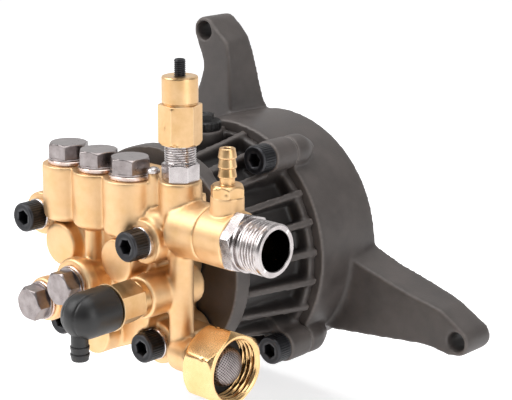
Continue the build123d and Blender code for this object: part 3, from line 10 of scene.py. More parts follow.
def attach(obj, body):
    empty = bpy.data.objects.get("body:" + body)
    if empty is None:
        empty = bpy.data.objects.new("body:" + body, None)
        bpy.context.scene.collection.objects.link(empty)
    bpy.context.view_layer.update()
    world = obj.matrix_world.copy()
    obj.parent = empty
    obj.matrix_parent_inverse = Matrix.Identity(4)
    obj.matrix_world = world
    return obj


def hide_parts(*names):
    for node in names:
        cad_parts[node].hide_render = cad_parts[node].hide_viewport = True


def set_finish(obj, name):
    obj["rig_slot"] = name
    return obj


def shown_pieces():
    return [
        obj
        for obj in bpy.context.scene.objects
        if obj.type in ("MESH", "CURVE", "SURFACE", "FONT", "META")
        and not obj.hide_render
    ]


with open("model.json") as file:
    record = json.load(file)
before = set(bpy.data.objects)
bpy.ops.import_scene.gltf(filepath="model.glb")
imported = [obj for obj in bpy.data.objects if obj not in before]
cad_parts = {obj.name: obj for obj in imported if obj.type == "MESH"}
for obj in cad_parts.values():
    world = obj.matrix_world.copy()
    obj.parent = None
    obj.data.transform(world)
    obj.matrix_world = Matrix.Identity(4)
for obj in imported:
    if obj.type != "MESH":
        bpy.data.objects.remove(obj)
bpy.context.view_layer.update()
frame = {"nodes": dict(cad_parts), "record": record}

NODES = frame["nodes"]
MM = 0.001
X, Y, Z = range(3)

# ---- places and sizes on the pump, in millimetres, as in the solids ----
COLUMN_X, COLUMN_Y = 43.0, -114.0
TOWER_Y, TOWER_TOP = -120.0, 48.6
TOWER_PLUGS = ((-19.3, 8.0), (19.3, 22.0), (0.0, 14.0))              # x, turn in degrees
BOSS_FRONT_Y = -136.5
BOSS_PLUGS = ((0.0, 0.8, 10.0), (-19.8, -10.4, -6.0))                # x, z, turn in degrees
OUTLET_Z, OUTLET_BORE = 30.9, 8.4
INLET_Z, NUT_X, HOSE_WASHER_X, FILTER_X = -24.6, 57.4, 63.52, 66.14
BARB_X, BARB_Z, BARB_TIP = 69.4, 48.72, 68.4
RELIEF_X, RELIEF_Y, RELIEF_Z = 34.4, -130.62, 1.4
ELBOW_Y, ELBOW_STRAIGHT, ELBOW_RADIUS = -147.82, 12.5, 9.8
ELBOW_TAIL = 15.6               # from the elbow's rear face to its tail's axis
OIL_PLUG = (-7.0, -49.0, 54.02)
BLEED_SCREW = (31.6, -118.4, 52.42)
HEAD_BOLTS = ((32.5, 24.2, -126.0), (-32.5, 24.2, -126.0),
              (26.3, -25.4, -112.0), (-26.3, -25.4, -112.0))         # x, z, seat's y
HEAD_BOLT_END_Y, HEAD_WASHER = -75.22, 2.0
CASE_BOLT_CIRCLE, CASE_BOLT_ANGLES = 59.0, (54.0, -41.0, 156.0, 229.0)
CASE_BOLT_Y, CASE_BOLT_LENGTH = -52.02, 23.5
FIN_ENDS_Y, FIN_TIPS, FIN_RIM, SLOT_DEPTH = (-87.0, -47.0), (47.0, 54.5), 1.0, 4.0
AIR = 0.02                      # kept between two pieces that touch


# ---------------------------------------------------------------- surfaces
def in_scene(name, data):
    """A new object that carries the data, linked to the scene."""
    made = bpy.data.objects.new(name, data)
    bpy.context.scene.collection.objects.link(made)
    return made


def vertex_places(mesh):
    """Where the mesh's vertices are, in metres, as rows of x, y and z."""
    place = np.empty(len(mesh.vertices) * 3)
    mesh.vertices.foreach_get("co", place)
    return place.reshape(-1, 3)


def mark_painted_shade(piece, share):
    """Stores the vertex value inside, nought to one, as share gives it from x, y and z in mm; a
    finish lays its painted shade by it.
    """
    places = vertex_places(piece.data) / MM
    layer = piece.data.attributes.new("inside", "FLOAT", "POINT")
    layer.data.foreach_set("value", share(*places.T).astype(np.float32))


def mesh_piece(name, vertices, faces, slot, body, node):
    """A piece from its vertices and faces: welded, its normals outward, smooth below 34 degrees."""
    mesh = bpy.data.meshes.new(name)
    mesh.from_pydata(vertices.tolist(), [], faces.tolist())
    mesh.update()
    surface = bmesh.new()
    surface.from_mesh(mesh)
    bmesh.ops.remove_doubles(surface, verts=surface.verts, dist=1e-7)
    bmesh.ops.dissolve_degenerate(surface, edges=surface.edges, dist=1e-7)
    bmesh.ops.recalc_face_normals(surface, faces=surface.faces)
    surface.to_mesh(mesh)
    surface.free()
    piece = in_scene(name, mesh)
    mesh.shade_smooth()
    mesh.set_sharp_from_angle(angle=radians(34))
    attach(piece, body)
    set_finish(piece, slot)
    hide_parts(node)
    return piece


def gather(name, parts, slot, node, body="pump"):
    """One piece from closed surfaces. Each is a grid of points (rows, columns, xyz in mm) whose
    last column joins its first."""
    vertices, faces, offset = [], [], 0
    for points in parts:
        rows, columns = points.shape[:2]
        index = np.arange(rows * columns).reshape(rows, columns) + offset
        low, high = index[:-1], index[1:]
        quads = np.stack([low, np.roll(low, -1, axis=1), np.roll(high, -1, axis=1), high], axis=-1)
        vertices.append(points.reshape(-1, 3) * MM)
        faces.append(quads.reshape(-1, 4))
        offset += rows * columns
    return mesh_piece(name, np.concatenate(vertices), np.concatenate(faces), slot, body, node)


def resample(profile, step, plain):
    """Points along a (radius, height) profile, no further apart than step; its corners are kept.
    Stretches within the plain radius, such as bores and shanks, have points up to 4 mm apart."""
    parts = []
    for start, end in zip(profile[:-1], profile[1:]):
        most = 4.0 if max(start[0], end[0]) <= plain else step
        length = np.hypot(*(np.subtract(end, start)))
        count = max(1, int(np.ceil(length / most)))
        parts.append(np.linspace(start, end, count, endpoint=False))
    parts.append(np.array([profile[-1]], dtype=float))
    return np.concatenate(parts)


def spin(profile, step, columns, form=None, start=0.0, plain=0.0):
    """Carries a (radius, height) profile round +Z, to a grid of so many columns from the start
    angle in degrees. form changes the radius by angle, height and radius. A profile that ends where
    it begins makes a ring."""
    line = resample(profile, step, plain)
    angle = radians(start) + np.linspace(0, 2 * pi, columns, endpoint=False)
    radius = np.repeat(line[:, :1], columns, axis=1)
    height = np.repeat(line[:, 1:2], columns, axis=1)
    if form is not None:
        radius = form(angle[None, :], height, radius)
    return np.stack([radius * np.cos(angle), radius * np.sin(angle), height], axis=-1)


def placed(points, direction, x, y, z):
    """Turns points made along +Z so that they point along direction from (x, y, z), as the solids
    do."""
    turns = {"+Z": (0, 0), "-Z": (pi, 0), "+X": (0, pi / 2), "-Y": (pi / 2, 0)}
    about_x, about_y = turns[direction]
    turn = np.array(Matrix.Rotation(about_x, 3, "X") @ Matrix.Rotation(about_y, 3, "Y"))
    return points @ turn.T + np.array([x, y, z])


def corner_radius(across_flats):
    """A hexagon's radius at its corners."""
    return across_flats / sqrt(3)


def hexagon(across_flats, turn, low=-1e3, high=1e3, soft=0.1, least=0.0, most=1e3):
    """Radius form: the lesser of the profile's radius and a hexagon's, blended over a small
    rounding. Corners face the angles turn, turn + 60 and so on, as in the solids. It acts between
    the heights low and high, on radii between least and most."""
    def form(angle, height, radius):
        inside = np.mod(angle - radians(turn), pi / 3) - pi / 6
        flat = across_flats / 2 / np.cos(inside)
        blend = -soft * np.logaddexp(-radius / soft, -flat / soft)
        acts = (height >= low) & (height <= high) & (radius > least) & (radius < most)
        return np.where(acts, np.minimum(blend, radius), radius)
    return form


def thread(pitch, depth, low, high, least, most=1e3):
    """Radius form: a helical groove, height = pitch * angle / 2 pi, that fades out over one pitch
    at both ends. The crest is flat over three tenths of the pitch and the root over a quarter. A
    depth below nought cuts outwards, for a tapped hole."""
    def form(angle, height, radius):
        turn = np.mod(height / pitch - angle / (2 * pi), 1.0)
        flank = np.clip(np.abs(turn - 0.5) * 4 - 0.6, 0, 0.9) / 0.9
        fade = np.clip((height - low) / pitch, 0, 1) * np.clip((high - height) / pitch, 0, 1)
        acts = (radius > least) & (radius < most)
        return np.where(acts, radius - depth * flank * fade, radius)
    return form


def flutes(count, depth, low, high, least):
    """Radius form: even grip ridges, radius - depth * (1 + cos(count * angle)) / 2."""
    def form(angle, height, radius):
        acts = (height > low) & (height < high) & (radius > least)
        return np.where(acts, radius - depth * (0.5 + 0.5 * np.cos(count * angle)), radius)
    return form


def dents(places, least):
    """Radius form: small knocks as bell curves at (angle in degrees, height, width, length, depth),
    where the radius is over least."""
    def form(angle, height, radius):
        for at, level, width, length, depth in places:
            across = (np.mod(angle - radians(at) + pi, 2 * pi) - pi) * radius
            bell = np.exp(-(across / width) ** 2 - ((height - level) / length) ** 2)
            radius = np.where(radius > least, radius - depth * bell, radius)
        return radius
    return form


def joined(*forms):
    """Radius form: the forms one after another."""
    def form(angle, height, radius):
        for one in forms:
            radius = one(angle, height, radius)
        return radius
    return form


# ---------------------------------------------------------------- castings
def casting(name, node, voxel, rounds, held, slot, most_triangles=145000):
    """A solid's mesh rebuilt on an even grid of voxel mm, where each vertex then drifts to the mean
    of its neighbours, so that sharp corners turn into cast fillets. held gives the share of the
    drift that each vertex takes along each axis, a small one across machined faces. The faces are
    thinned last, to most_triangles."""
    mesh = NODES[node].data.copy()
    surface = bmesh.new()
    surface.from_mesh(mesh)
    bmesh.ops.remove_doubles(surface, verts=surface.verts, dist=1e-6)
    surface.to_mesh(mesh)
    surface.free()
    source = in_scene(name + "_source", mesh)
    grid = source.modifiers.new("even grid", "REMESH")
    grid.mode = "VOXEL"
    grid.voxel_size = voxel * MM
    view = bpy.context.evaluated_depsgraph_get()
    mesh = bpy.data.meshes.new_from_object(source.evaluated_get(view))
    drift(mesh, rounds, held)
    source.modifiers.clear()
    source.data = mesh
    triangles = sum(len(face.vertices) - 2 for face in mesh.polygons)
    if triangles > most_triangles:
        fewer = source.modifiers.new("fewer faces", "DECIMATE")
        fewer.ratio = most_triangles / triangles
        view = bpy.context.evaluated_depsgraph_get()
        mesh = bpy.data.meshes.new_from_object(source.evaluated_get(view))
    bpy.data.objects.remove(source)
    mesh.name = name
    mesh.materials.clear()
    piece = in_scene(name, mesh)
    mesh.shade_smooth()
    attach(piece, "pump")
    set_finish(piece, slot)
    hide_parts(node)
    return piece


def drift(mesh, rounds, held):
    """Each round moves every vertex half way to the mean of its neighbours, times its shares from
    held."""
    place = vertex_places(mesh)
    count = len(place)
    edges = np.empty(len(mesh.edges) * 2, dtype=np.int64)
    mesh.edges.foreach_get("vertices", edges)
    first, second = edges.reshape(-1, 2).T
    neighbours = np.bincount(first, minlength=count) + np.bincount(second, minlength=count)
    weight = held(place / MM) * 0.5
    for _ in range(rounds):
        total = np.stack([np.bincount(first, place[second, axis], count)
                          + np.bincount(second, place[first, axis], count)
                          for axis in (X, Y, Z)], axis=1)
        place = place + weight * (total / neighbours[:, None] - place)
    mesh.vertices.foreach_set("co", place.ravel())
    mesh.update()


def machined(*rules):
    """What drift takes as held: shares of 1 everywhere, but a rule's own share along its axis where
    its test of x, y and z in mm is met."""
    def shares(places):
        keep = np.ones(places.shape)
        for axis, share, test in rules:
            keep[test(*places.T), axis] = share
        return keep
    return shares


def slot_shade(x, y, z):
    """Painted shade between the crankcase's fins: nought down to the rim under their tips, then
    rising to 0.8 over the slots' depth. The tips' radius follows the taper along y."""
    tips = np.interp(y, FIN_ENDS_Y, FIN_TIPS)
    return np.clip((tips - FIN_RIM - np.hypot(x, z)) / SLOT_DEPTH, 0, 1) * 0.8


def castings():
    """The four cast solids; their machined faces keep their level."""
    head = machined((Y, 0.1, lambda x, y, z: (y > -88.6) | (y < -136.0)),   # joint, boss fronts
                    (Z, 0.1, lambda x, y, z: (z > 48.0) & (y < -108)),      # tower tops
                    (X, 0.1, lambda x, y, z: x > 60.6))                     # outlet's seam
    case = machined((Y, 0.1, lambda x, y, z: (y < -86.6) | (y > -38.5)))    # both joints
    flange = machined((Y, 0.05, lambda x, y, z: (y > -0.5) | (y < -37.4)))  # engine face, joint
    injector = machined((X, 0.1, lambda x, y, z: (x < 61.7) | (x > 76.0)),  # both seams
                        (Z, 0.1, lambda x, y, z: z > 48.3))                 # barb's seat
    casting("head_casting", "pump_head", 0.6, 9, head, "cast_brass")
    fins = casting("case_casting", "crankcase", 0.8, 5, case, "painted_casting")
    # painted shade in the slots between the fins
    mark_painted_shade(fins, slot_shade)
    casting("flange_casting", "mounting_flange", 0.9, 9, flange, "painted_casting")
    casting("injector_casting", "injector_body", 0.35, 8, injector, "cast_brass")


# ---------------------------------------------------------------- materials
def colour(text):
    """sRGB hex to linear red, green, blue, alpha."""
    values = [int(text[i:i + 2], 16) / 255 for i in (1, 3, 5)]
    return tuple(v / 12.92 if v <= 0.04045 else ((v + 0.055) / 1.055) ** 2.4
                 for v in values) + (1.0,)


def blank_tree(owner):
    """The node tree of a material or world, turned on and empty."""
    owner.use_nodes = True
    owner.node_tree.nodes.clear()
    return owner.node_tree


def add(tree, kind, inputs=None, **settings):
    """Adds one shader node. settings are its properties; inputs are its sockets, as values or as
    other nodes' outputs."""
    node = tree.nodes.new("ShaderNode" + kind)
    stops = settings.pop("stops", None)
    for key, value in settings.items():
        setattr(node, key, value)
    if stops:
        while len(node.color_ramp.elements) < len(stops):
            node.color_ramp.elements.new(0.5)
        for element, (place, value) in zip(node.color_ramp.elements, stops):
            element.position = place
            element.color = colour(value) if isinstance(value, str) else (value,) * 3 + (1.0,)
    for key, value in (inputs or {}).items():
        if isinstance(value, bpy.types.NodeSocket):
            tree.links.new(value, node.inputs[key])
        else:
            node.inputs[key].default_value = value
    return node


def mix(tree, factor, first, second):
    """The first colour, turning into the second as the factor goes from nought to one."""
    return add(tree, "Mix", {"Factor": factor, "A": first, "B": second},
               data_type="RGBA").outputs[2]


def span(tree, value, start, end, to_start=0.0, to_end=1.0):
    """Carries a value from start..end to to_start..to_end, and stops at the ends."""
    return add(tree, "MapRange", {"Value": value, "From Min": start, "From Max": end,
                                  "To Min": to_start, "To Max": to_end}).outputs["Result"]


def finish(name, metallic, shades, patch_mm, grain_mm, bump_mm, rough_range,
           wear_sheen_and_hollow_shade=None, hollow_shade_share=0.5, dark=None, ior=1.5):
    """A surface of one stuff. shades are three colours that its patches pass through, and patch_mm
    is their size; the roughness runs over rough_range with them. grain_mm is the size of the fine
    grain that the bump raises by bump_mm. Two optional colours go to raised edges, as wear and
    painted highlight, and to hollows, as painted shade, the second with a strength of its own. dark
    is the colour of painted shade where the mesh attribute inside is 1."""
    material = bpy.data.materials.new(name)
    tree = blank_tree(material)
    place = add(tree, "TexCoord").outputs["Object"]
    patches = add(tree, "TexNoise", {"Vector": place, "Scale": 1 / (patch_mm * MM),
                                     "Detail": 4.0, "Roughness": 0.55}).outputs["Fac"]
    tint = add(tree, "ValToRGB", {"Fac": patches},
               stops=list(zip((0.3, 0.5, 0.72), shades))).outputs["Color"]
    if wear_sheen_and_hollow_shade:
        # pointiness is 0.5 on flat faces, more on raised edges and less in hollows: edges get wear
        # and painted highlight, hollows painted shade
        pointed = add(tree, "NewGeometry").outputs["Pointiness"]
        tint = mix(tree, span(tree, pointed, 0.515, 0.58, 0.0, 0.7), tint, colour(wear_sheen_and_hollow_shade[0]))
        tint = mix(tree, span(tree, pointed, 0.49, 0.42, 0.0, hollow_shade_share), tint, colour(wear_sheen_and_hollow_shade[1]))
    # painted shade where the mesh attribute inside is 1
    if dark:
        inside = add(tree, "Attribute", attribute_name="inside").outputs["Fac"]
        tint = mix(tree, inside, tint, colour(dark))
    grain = add(tree, "TexNoise", {"Vector": place, "Scale": 1 / (grain_mm * MM),
                                   "Detail": 3.0, "Roughness": 0.6}).outputs["Fac"]
    bump = add(tree, "Bump", {"Height": grain, "Distance": bump_mm * MM, "Strength": 1.0})
    shader = add(tree, "BsdfPrincipled", {"Base Color": tint, "Metallic": metallic, "IOR": ior,
                                          "Roughness": span(tree, patches, 0.3, 0.7, *rough_range),
                                          "Normal": bump.outputs["Normal"]})
    add(tree, "OutputMaterial", {"Surface": shader.outputs["BSDF"]})
    return material


FINISHES = {
    # an even satin face with faint light and dark patches; pale edges, as wear and painted
    # highlight, and darker hollows, as painted shade
    "cast_brass": finish("blasted cast brass", 1.0, ("#DDB380", "#E6BF90", "#EECB9E"),
                         9.0, 0.5, 0.05, (0.40, 0.54),
                         wear_sheen_and_hollow_shade=("#FBE0B4", "#A87A48"), hollow_shade_share=0.45),
    # smoother than the casting, with brighter cut edges, as wear and painted highlight, and darker
    # hollows, as painted shade
    "turned_brass": finish("turned brass", 1.0, ("#D2A874", "#DCB584", "#E7C293"),
                           6.0, 0.4, 0.012, (0.30, 0.42), wear_sheen_and_hollow_shade=("#F6DDB4", "#946A3A")),
    # the smoothest brass: mirrors the room softly, with broad duller patches
    "polished_brass": finish("polished forged brass", 1.0, ("#E2B77E", "#EBC28B", "#F3CD9A"),
                             9.0, 1.5, 0.006, (0.20, 0.30)),
    # warm dark grey over a slightly grainy skin; paler on edges, as wear and painted highlight;
    # darker in hollows and darkest between the fins, as painted shade
    "painted_casting": finish("satin coat on cast aluminium", 0.0,
                              ("#433D3B", "#4D4744", "#57504D"), 12.0, 0.7, 0.08, (0.42, 0.56),
                              wear_sheen_and_hollow_shade=("#8A817C", "#1E1B1A"), hollow_shade_share=0.8, dark="#191616"),
    # nearly black, oily satin; paler edges as wear and painted highlight, darker hollows as painted
    # shade
    "black_steel": finish("black oxide steel", 0.6, ("#19191B", "#202023", "#2A2A2D"),
                          3.0, 0.35, 0.01, (0.28, 0.42), wear_sheen_and_hollow_shade=("#5A5A5E", "#121213")),
    # bright and slightly warm; paler edges as wear and painted highlight, darker hollows as painted
    # shade; the bores get a dark painted shade
    "nickel_plate": finish("bright nickel plate", 1.0, ("#ABA4A3", "#BBB4B3", "#CBC5C3"),
                           5.0, 0.5, 0.008, (0.20, 0.32),
                           wear_sheen_and_hollow_shade=("#F0ECEB", "#4E4847"), dark="#2B2727"),
    # grey satin with a cloudy face
    "bright_steel": finish("zinc plated steel", 1.0, ("#827A79", "#948C8B", "#A69E9D"),
                           4.0, 0.4, 0.01, (0.26, 0.36)),
    # a pale copper tinted ring
    "ring_metal": finish("copper faced sealing washer", 1.0, ("#C3AA9F", "#D0BDB4", "#DFD2CC"),
                         2.0, 0.4, 0.012, (0.24, 0.36)),
    # cool, even and smooth
    "ground_steel": finish("ground steel", 1.0, ("#A9A9AB", "#B4B4B6", "#BFBFC1"),
                           4.0, 0.3, 0.008, (0.20, 0.30)),
    # a darker grey than ground steel
    "spring_steel": finish("drawn spring wire", 1.0, ("#77777A", "#828285", "#8D8D90"),
                           3.0, 0.3, 0.01, (0.28, 0.38)),
    # milky and silky
    "valve_plastic": finish("moulded acetal", 0.0, ("#D8D3C6", "#DDD8CC", "#E2DDD2"),
                            8.0, 0.6, 0.01, (0.36, 0.46), ior=1.48),
    # matte black
    "seal_rubber": finish("moulded nitrile rubber", 0.0, ("#121212", "#161616", "#1B1B1B"),
                          5.0, 0.5, 0.02, (0.55, 0.70), ior=1.52),
    # near black with a silky face and a faint grain; paler edges as wear and painted highlight,
    # darker hollows as painted shade
    "black_nylon": finish("moulded nylon", 0.0, ("#0F0E0E", "#131212", "#181617"),
                          6.0, 0.45, 0.02, (0.38, 0.50), wear_sheen_and_hollow_shade=("#2C292A", "#0A0909"), ior=1.53),
}
# grey threads over dark gaps, which the mesh attribute inside marks; the gaps' dark is painted
# shade of the filter's inside
WIRE_MESH = finish("woven steel wire", 1.0, ("#8F8685", "#A39A99", "#B5ADAB"),
                   3.0, 0.3, 0.006, (0.34, 0.44), dark="#3A3434")


# ---------------------------------------------------------------- pieces
def hex_plug(across, height, flange, flange_height, ring_height, stem, stem_length, turn):
    """Plug along +Z: stem, rounded flange and a hexagon with a turned top chamfer. The rows of
    points inside the top face are left out, so that it is one flat fan."""
    low = ring_height + AIR
    seat = low + flange_height
    top = seat + height
    corner = corner_radius(across)
    profile = [(0, -stem_length), (stem - 0.6, -stem_length), (stem, 0.6 - stem_length),
               (stem, low), (flange - 0.25, low), (flange, low + 0.25), (flange, seat - 0.25),
               (flange - 0.25, seat), (corner + 0.6, seat), (corner + 1.0, top - 1.4),
               (corner - 1.2, top), (0, top)]
    points = spin(profile, 0.35, 180, hexagon(across, turn, seat), turn, stem)
    reach = np.hypot(points[..., 0], points[..., 1]).max(axis=1)
    inner = (points[:, 0, 2] > top - 0.01) & (reach < across * 0.4) & (reach > 0.01)
    return points[~inner]


def washer(inner, outer, height, rounding=0.35):
    """Flat ring from z = 0, its edges bevelled by the rounding, but for the lower inner one."""
    profile = [(inner, 0), (outer - rounding, 0), (outer, rounding), (outer, height - rounding),
               (outer - rounding, height), (inner + rounding, height), (inner, height - rounding),
               (inner, 0)]
    return spin(profile, 0.35, 108)


def socket_screw(length, turn):
    """Socket head screw from z = 0: shank below, knurled head above with its hexagon socket."""
    profile = [(0, -length), (3.3, -length), (4.0, 0.7 - length), (4.0, 0), (6.2, 0), (6.5, 0.3),
               (6.5, 7.0), (6.3, 7.6), (5.9, 8.0), (3.95, 8.0), (3.6, 7.65), (3.6, 3.5), (0, 2.9)]
    knurl = flutes(36, 0.16, low=0.6, high=6.8, least=6.3)
    socket = hexagon(6.0, turn, low=3.4, high=7.9, soft=0.04, most=3.7)
    return spin(profile, 0.9, 216, joined(knurl, socket), turn, plain=4.0)


def plugs():
    """Hexagon plugs on the three towers and the two front bosses, each on its sealing washer."""
    tower = dict(across=15.6, height=6.2, flange=8.6, flange_height=1.0, ring_height=1.9,
                 stem=6.08, stem_length=7.0)
    boss = dict(across=13.6, height=6.0, flange=8.2, flange_height=1.2, ring_height=1.3,
                stem=4.98, stem_length=9.0)
    gather("tower_plugs", [placed(hex_plug(turn=turn, **tower), "+Z", x, TOWER_Y, TOWER_TOP)
                           for x, turn in TOWER_PLUGS], "bright_steel", "discharge_plugs")
    gather("tower_washers", [placed(washer(6.15, 9.0, tower["ring_height"]), "+Z",
                                    x, TOWER_Y, TOWER_TOP + AIR / 2)
                             for x, _ in TOWER_PLUGS], "ring_metal", "discharge_plug_rings")
    gather("boss_plugs", [placed(hex_plug(turn=turn, **boss), "-Y", x, BOSS_FRONT_Y, z)
                          for x, z, turn in BOSS_PLUGS], "bright_steel", "front_plugs")
    gather("boss_washers", [placed(washer(5.05, 8.6, boss["ring_height"]), "-Y",
                                   x, BOSS_FRONT_Y - AIR / 2, z)
                            for x, z, _ in BOSS_PLUGS], "ring_metal", "front_plug_rings")


def screws():
    """Socket screws of the head, on washers, and of the crankcase. Each is turned a little further
    than the last, so that the sockets don't line up."""
    lift = HEAD_WASHER + AIR
    head = [placed(socket_screw(HEAD_BOLT_END_Y - seat + lift, 7.0 + 19 * index), "-Y",
                   x, seat - lift, z)
            for index, (x, z, seat) in enumerate(HEAD_BOLTS)]
    gather("head_screws", head, "black_steel", "head_bolts")
    rings = [placed(washer(4.4, 6.9, HEAD_WASHER, 0.3), "-Y", x, seat, z)
             for x, z, seat in HEAD_BOLTS]
    gather("head_screw_washers", rings, "nickel_plate", "head_bolt_washers")
    case = [placed(socket_screw(CASE_BOLT_LENGTH, 11.0 + 23 * index), "-Y",
                   CASE_BOLT_CIRCLE * cos(radians(angle)), CASE_BOLT_Y,
                   CASE_BOLT_CIRCLE * sin(radians(angle)))
            for index, angle in enumerate(CASE_BOLT_ANGLES)]
    gather("case_screws", case, "black_steel", "case_bolts")


def oil_plug():
    """Fluted flange with a small hexagon on top."""
    cap = [(0, -9), (5.4, -9), (6, -8.4), (6, 0), (8.2, 0), (8.6, 1), (8.6, 3.4), (7.8, 4.2),
           (5.9, 4.2), (5.9, 6.6), (4.6, 7), (3.0, 7), (2.8, 6.7), (0, 6.7)]
    form = joined(flutes(24, 0.3, low=0.6, high=3.8, least=8.0), hexagon(9.0, 0, low=4.25))
    gather("oil_plug", [placed(spin(cap, 0.4, 144, form), "+Z", *OIL_PLUG)],
           "black_nylon", "oil_fill_plug")


def bleed_screw():
    """Domed screw, part of a sphere of 3.8 mm radius, with a straight slot across it: points within
    0.36 mm of the slot's line go down to its floor."""
    dome = [(3.8 * sin(t), 3.8 * cos(t) - 1.2) for t in np.linspace(0.66, 0, 14)]
    line = [(0, -5), (1.3, -5), (1.3, 0), (2.6, 0), (2.8, 0.2), (2.8, 1.2), *dome]
    head = spin(line, 0.12, 144)
    slot_turn, slot_floor = 0.6, 1.7
    across = head[..., 0] * sin(slot_turn) - head[..., 1] * cos(slot_turn)
    slot = (np.abs(across) < 0.36) & (head[..., 2] > slot_floor)
    head[..., 2] = np.where(slot, slot_floor, head[..., 2])
    gather("bleed_cap", [placed(head, "+Z", *BLEED_SCREW)], "nickel_plate", "bleed_screw")


def unloader():
    """Threaded body with its hexagon, brass cap with its own, and the stop screw, all spun round
    the column at their true heights."""
    across, turn = 13.6, -22
    corner = corner_radius(across)
    body = [(2.55, 43.5), (5.2, 43.5), (5.6, 44.0), (5.6, 50.52), (corner - 0.5, 50.52),
            (corner + 0.4, 51.1), (corner + 0.4, 57.1), (corner - 0.6, 57.72), (6.1, 57.72),
            (6.1, 58.2), (6.58, 58.6), (6.58, 76.4), (6.1, 77.0), (5.1, 77.0), (5.1, 51.0),
            (2.55, 51.0), (2.55, 43.5)]
    form = joined(hexagon(across, turn, low=50.5, high=57.8, least=6.2),
                  thread(1.0, 0.5, low=58.4, high=76.6, least=6.3))
    gather("unloader_stem", [placed(spin(body, 0.14, 144, form, turn, plain=5.6), "+Z",
                                    COLUMN_X, COLUMN_Y, 0)], "nickel_plate", "unloader_body")
    across, turn = 15.8, -9
    corner = corner_radius(across)
    cap = [(6.66, 65.9), (corner - 1.0, 65.9), (corner + 0.6, 67.5), (corner + 0.6, 81.9),
           (corner - 0.2, 82.5), (7.9, 82.5), (7.25, 82.7), (7.25, 83.2), (7.5, 83.5), (7.5, 93.5),
           (7.2, 94.0), (6.6, 94.2), (3.2, 94.2), (2.45, 93.7), (2.45, 89.7), (5.4, 89.7),
           (5.4, 82.5), (6.66, 82.5), (6.66, 65.9)]
    knocks = dents(((-58, 66.6, 0.8, 0.7, 0.5), (-99, 74.0, 0.4, 1.2, 0.25),
                    (-69, 82.0, 0.7, 0.4, 0.3)), least=7.0)
    form = joined(hexagon(across, turn, low=65.8, high=82.55, least=6.8), knocks)
    gather("unloader_cover", [placed(spin(cap, 0.3, 180, form, turn, plain=6.7), "+Z",
                                     COLUMN_X, COLUMN_Y, 0)],
           "turned_brass", "unloader_cap", "unloader_cap")
    screw = [(0, 89.7), (1.9, 89.7), (2.4, 90.2), (2.4, 100.5), (1.95, 101), (1.6, 101),
             (1.45, 100.8), (1.45, 98.5), (0, 98.1)]
    turn = 20
    form = joined(thread(0.8, 0.36, low=90.0, high=100.8, least=2.2),
                  hexagon(2.5, turn, low=98.4, high=100.9, soft=0.03, most=1.5))
    gather("stop_screw", [placed(spin(screw, 0.1, 96, form, turn), "+Z", COLUMN_X, COLUMN_Y, 0)],
           "black_steel", "unloader_stop_screw", "unloader_cap")


def outlet():
    """Hexagon nipple along +X with its hose thread; the bore's vertices are marked inside, for
    painted shade.
    """
    across, turn = 23, 12
    corner = corner_radius(across)
    line = [(OUTLET_BORE, 70.4), (9.2, 70.4), (9.6, 70.8), (9.6, 76.42), (corner - 0.7, 76.42),
            (corner + 0.4, 77.2), (corner + 0.4, 80.9), (corner - 0.8, 81.62), (11.4, 81.62),
            (11.6, 81.8), (11.6, 82.8), (11.4, 83.02), (10.3, 83.1), (10.2, 83.9), (10.9, 84.5),
            (11.0, 85.0), (11.0, 95.0), (10.3, 95.8), (8.8, 95.8), (OUTLET_BORE, 95.4),
            (OUTLET_BORE, 70.4)]
    form = joined(hexagon(across, turn, low=76.4, high=81.65, soft=0.12, least=9.8),
                  thread(1.5, 0.85, low=84.6, high=94.0, least=10.6, most=11.3))
    piece = gather("outlet_thread", [placed(spin(line, 0.16, 180, form, turn, plain=9.6), "+X",
                                            0, COLUMN_Y, OUTLET_Z)],
                   "nickel_plate", "outlet_nipple")
    # painted shade inside the bore
    mark_painted_shade(piece, lambda x, y, z: np.hypot(y - COLUMN_Y, z - OUTLET_Z) < OUTLET_BORE + 0.1)


def barb():
    """Hose barb along +Z: a hexagon foot and three rings, each steep below and sloping above."""
    across, turn, foot, rings = 12.6, 20, 4.8, 3
    corner = corner_radius(across)
    step = (BARB_TIP - BARB_Z - foot - 3.0) / rings
    line = [(1.55, -6.0), (3.6, -6.0), (4.0, -5.6), (4.0, 0), (corner - 0.3, 0),
            (corner + 0.2, 0.4), (corner + 0.2, foot - 1.6), (corner - 1.4, foot), (3.3, foot),
            (3.1, foot + 0.3), (3.1, foot + 2.8)]
    for index in range(rings):
        low = foot + 3.0 + index * step
        line += [(3.7, low), (3.8, low + 0.15), (3.8, low + 0.5), (3.2, low + step - 0.25)]
    line += [(2.9, BARB_TIP - BARB_Z), (1.8, BARB_TIP - BARB_Z), (1.55, 68.1 - BARB_Z),
             (1.55, -6.0)]
    knocks = dents(((-50, 2.2, 0.5, 0.7, 0.25), (-85, foot - 0.6, 0.7, 0.4, 0.3)), least=5.0)
    form = joined(hexagon(across, turn, low=-0.01, high=foot + 0.01, least=4.1), knocks)
    gather("hose_barb", [placed(spin(line, 0.2, 144, form, turn, plain=1.6), "+Z",
                                BARB_X, COLUMN_Y, BARB_Z)], "turned_brass", "detergent_barb")


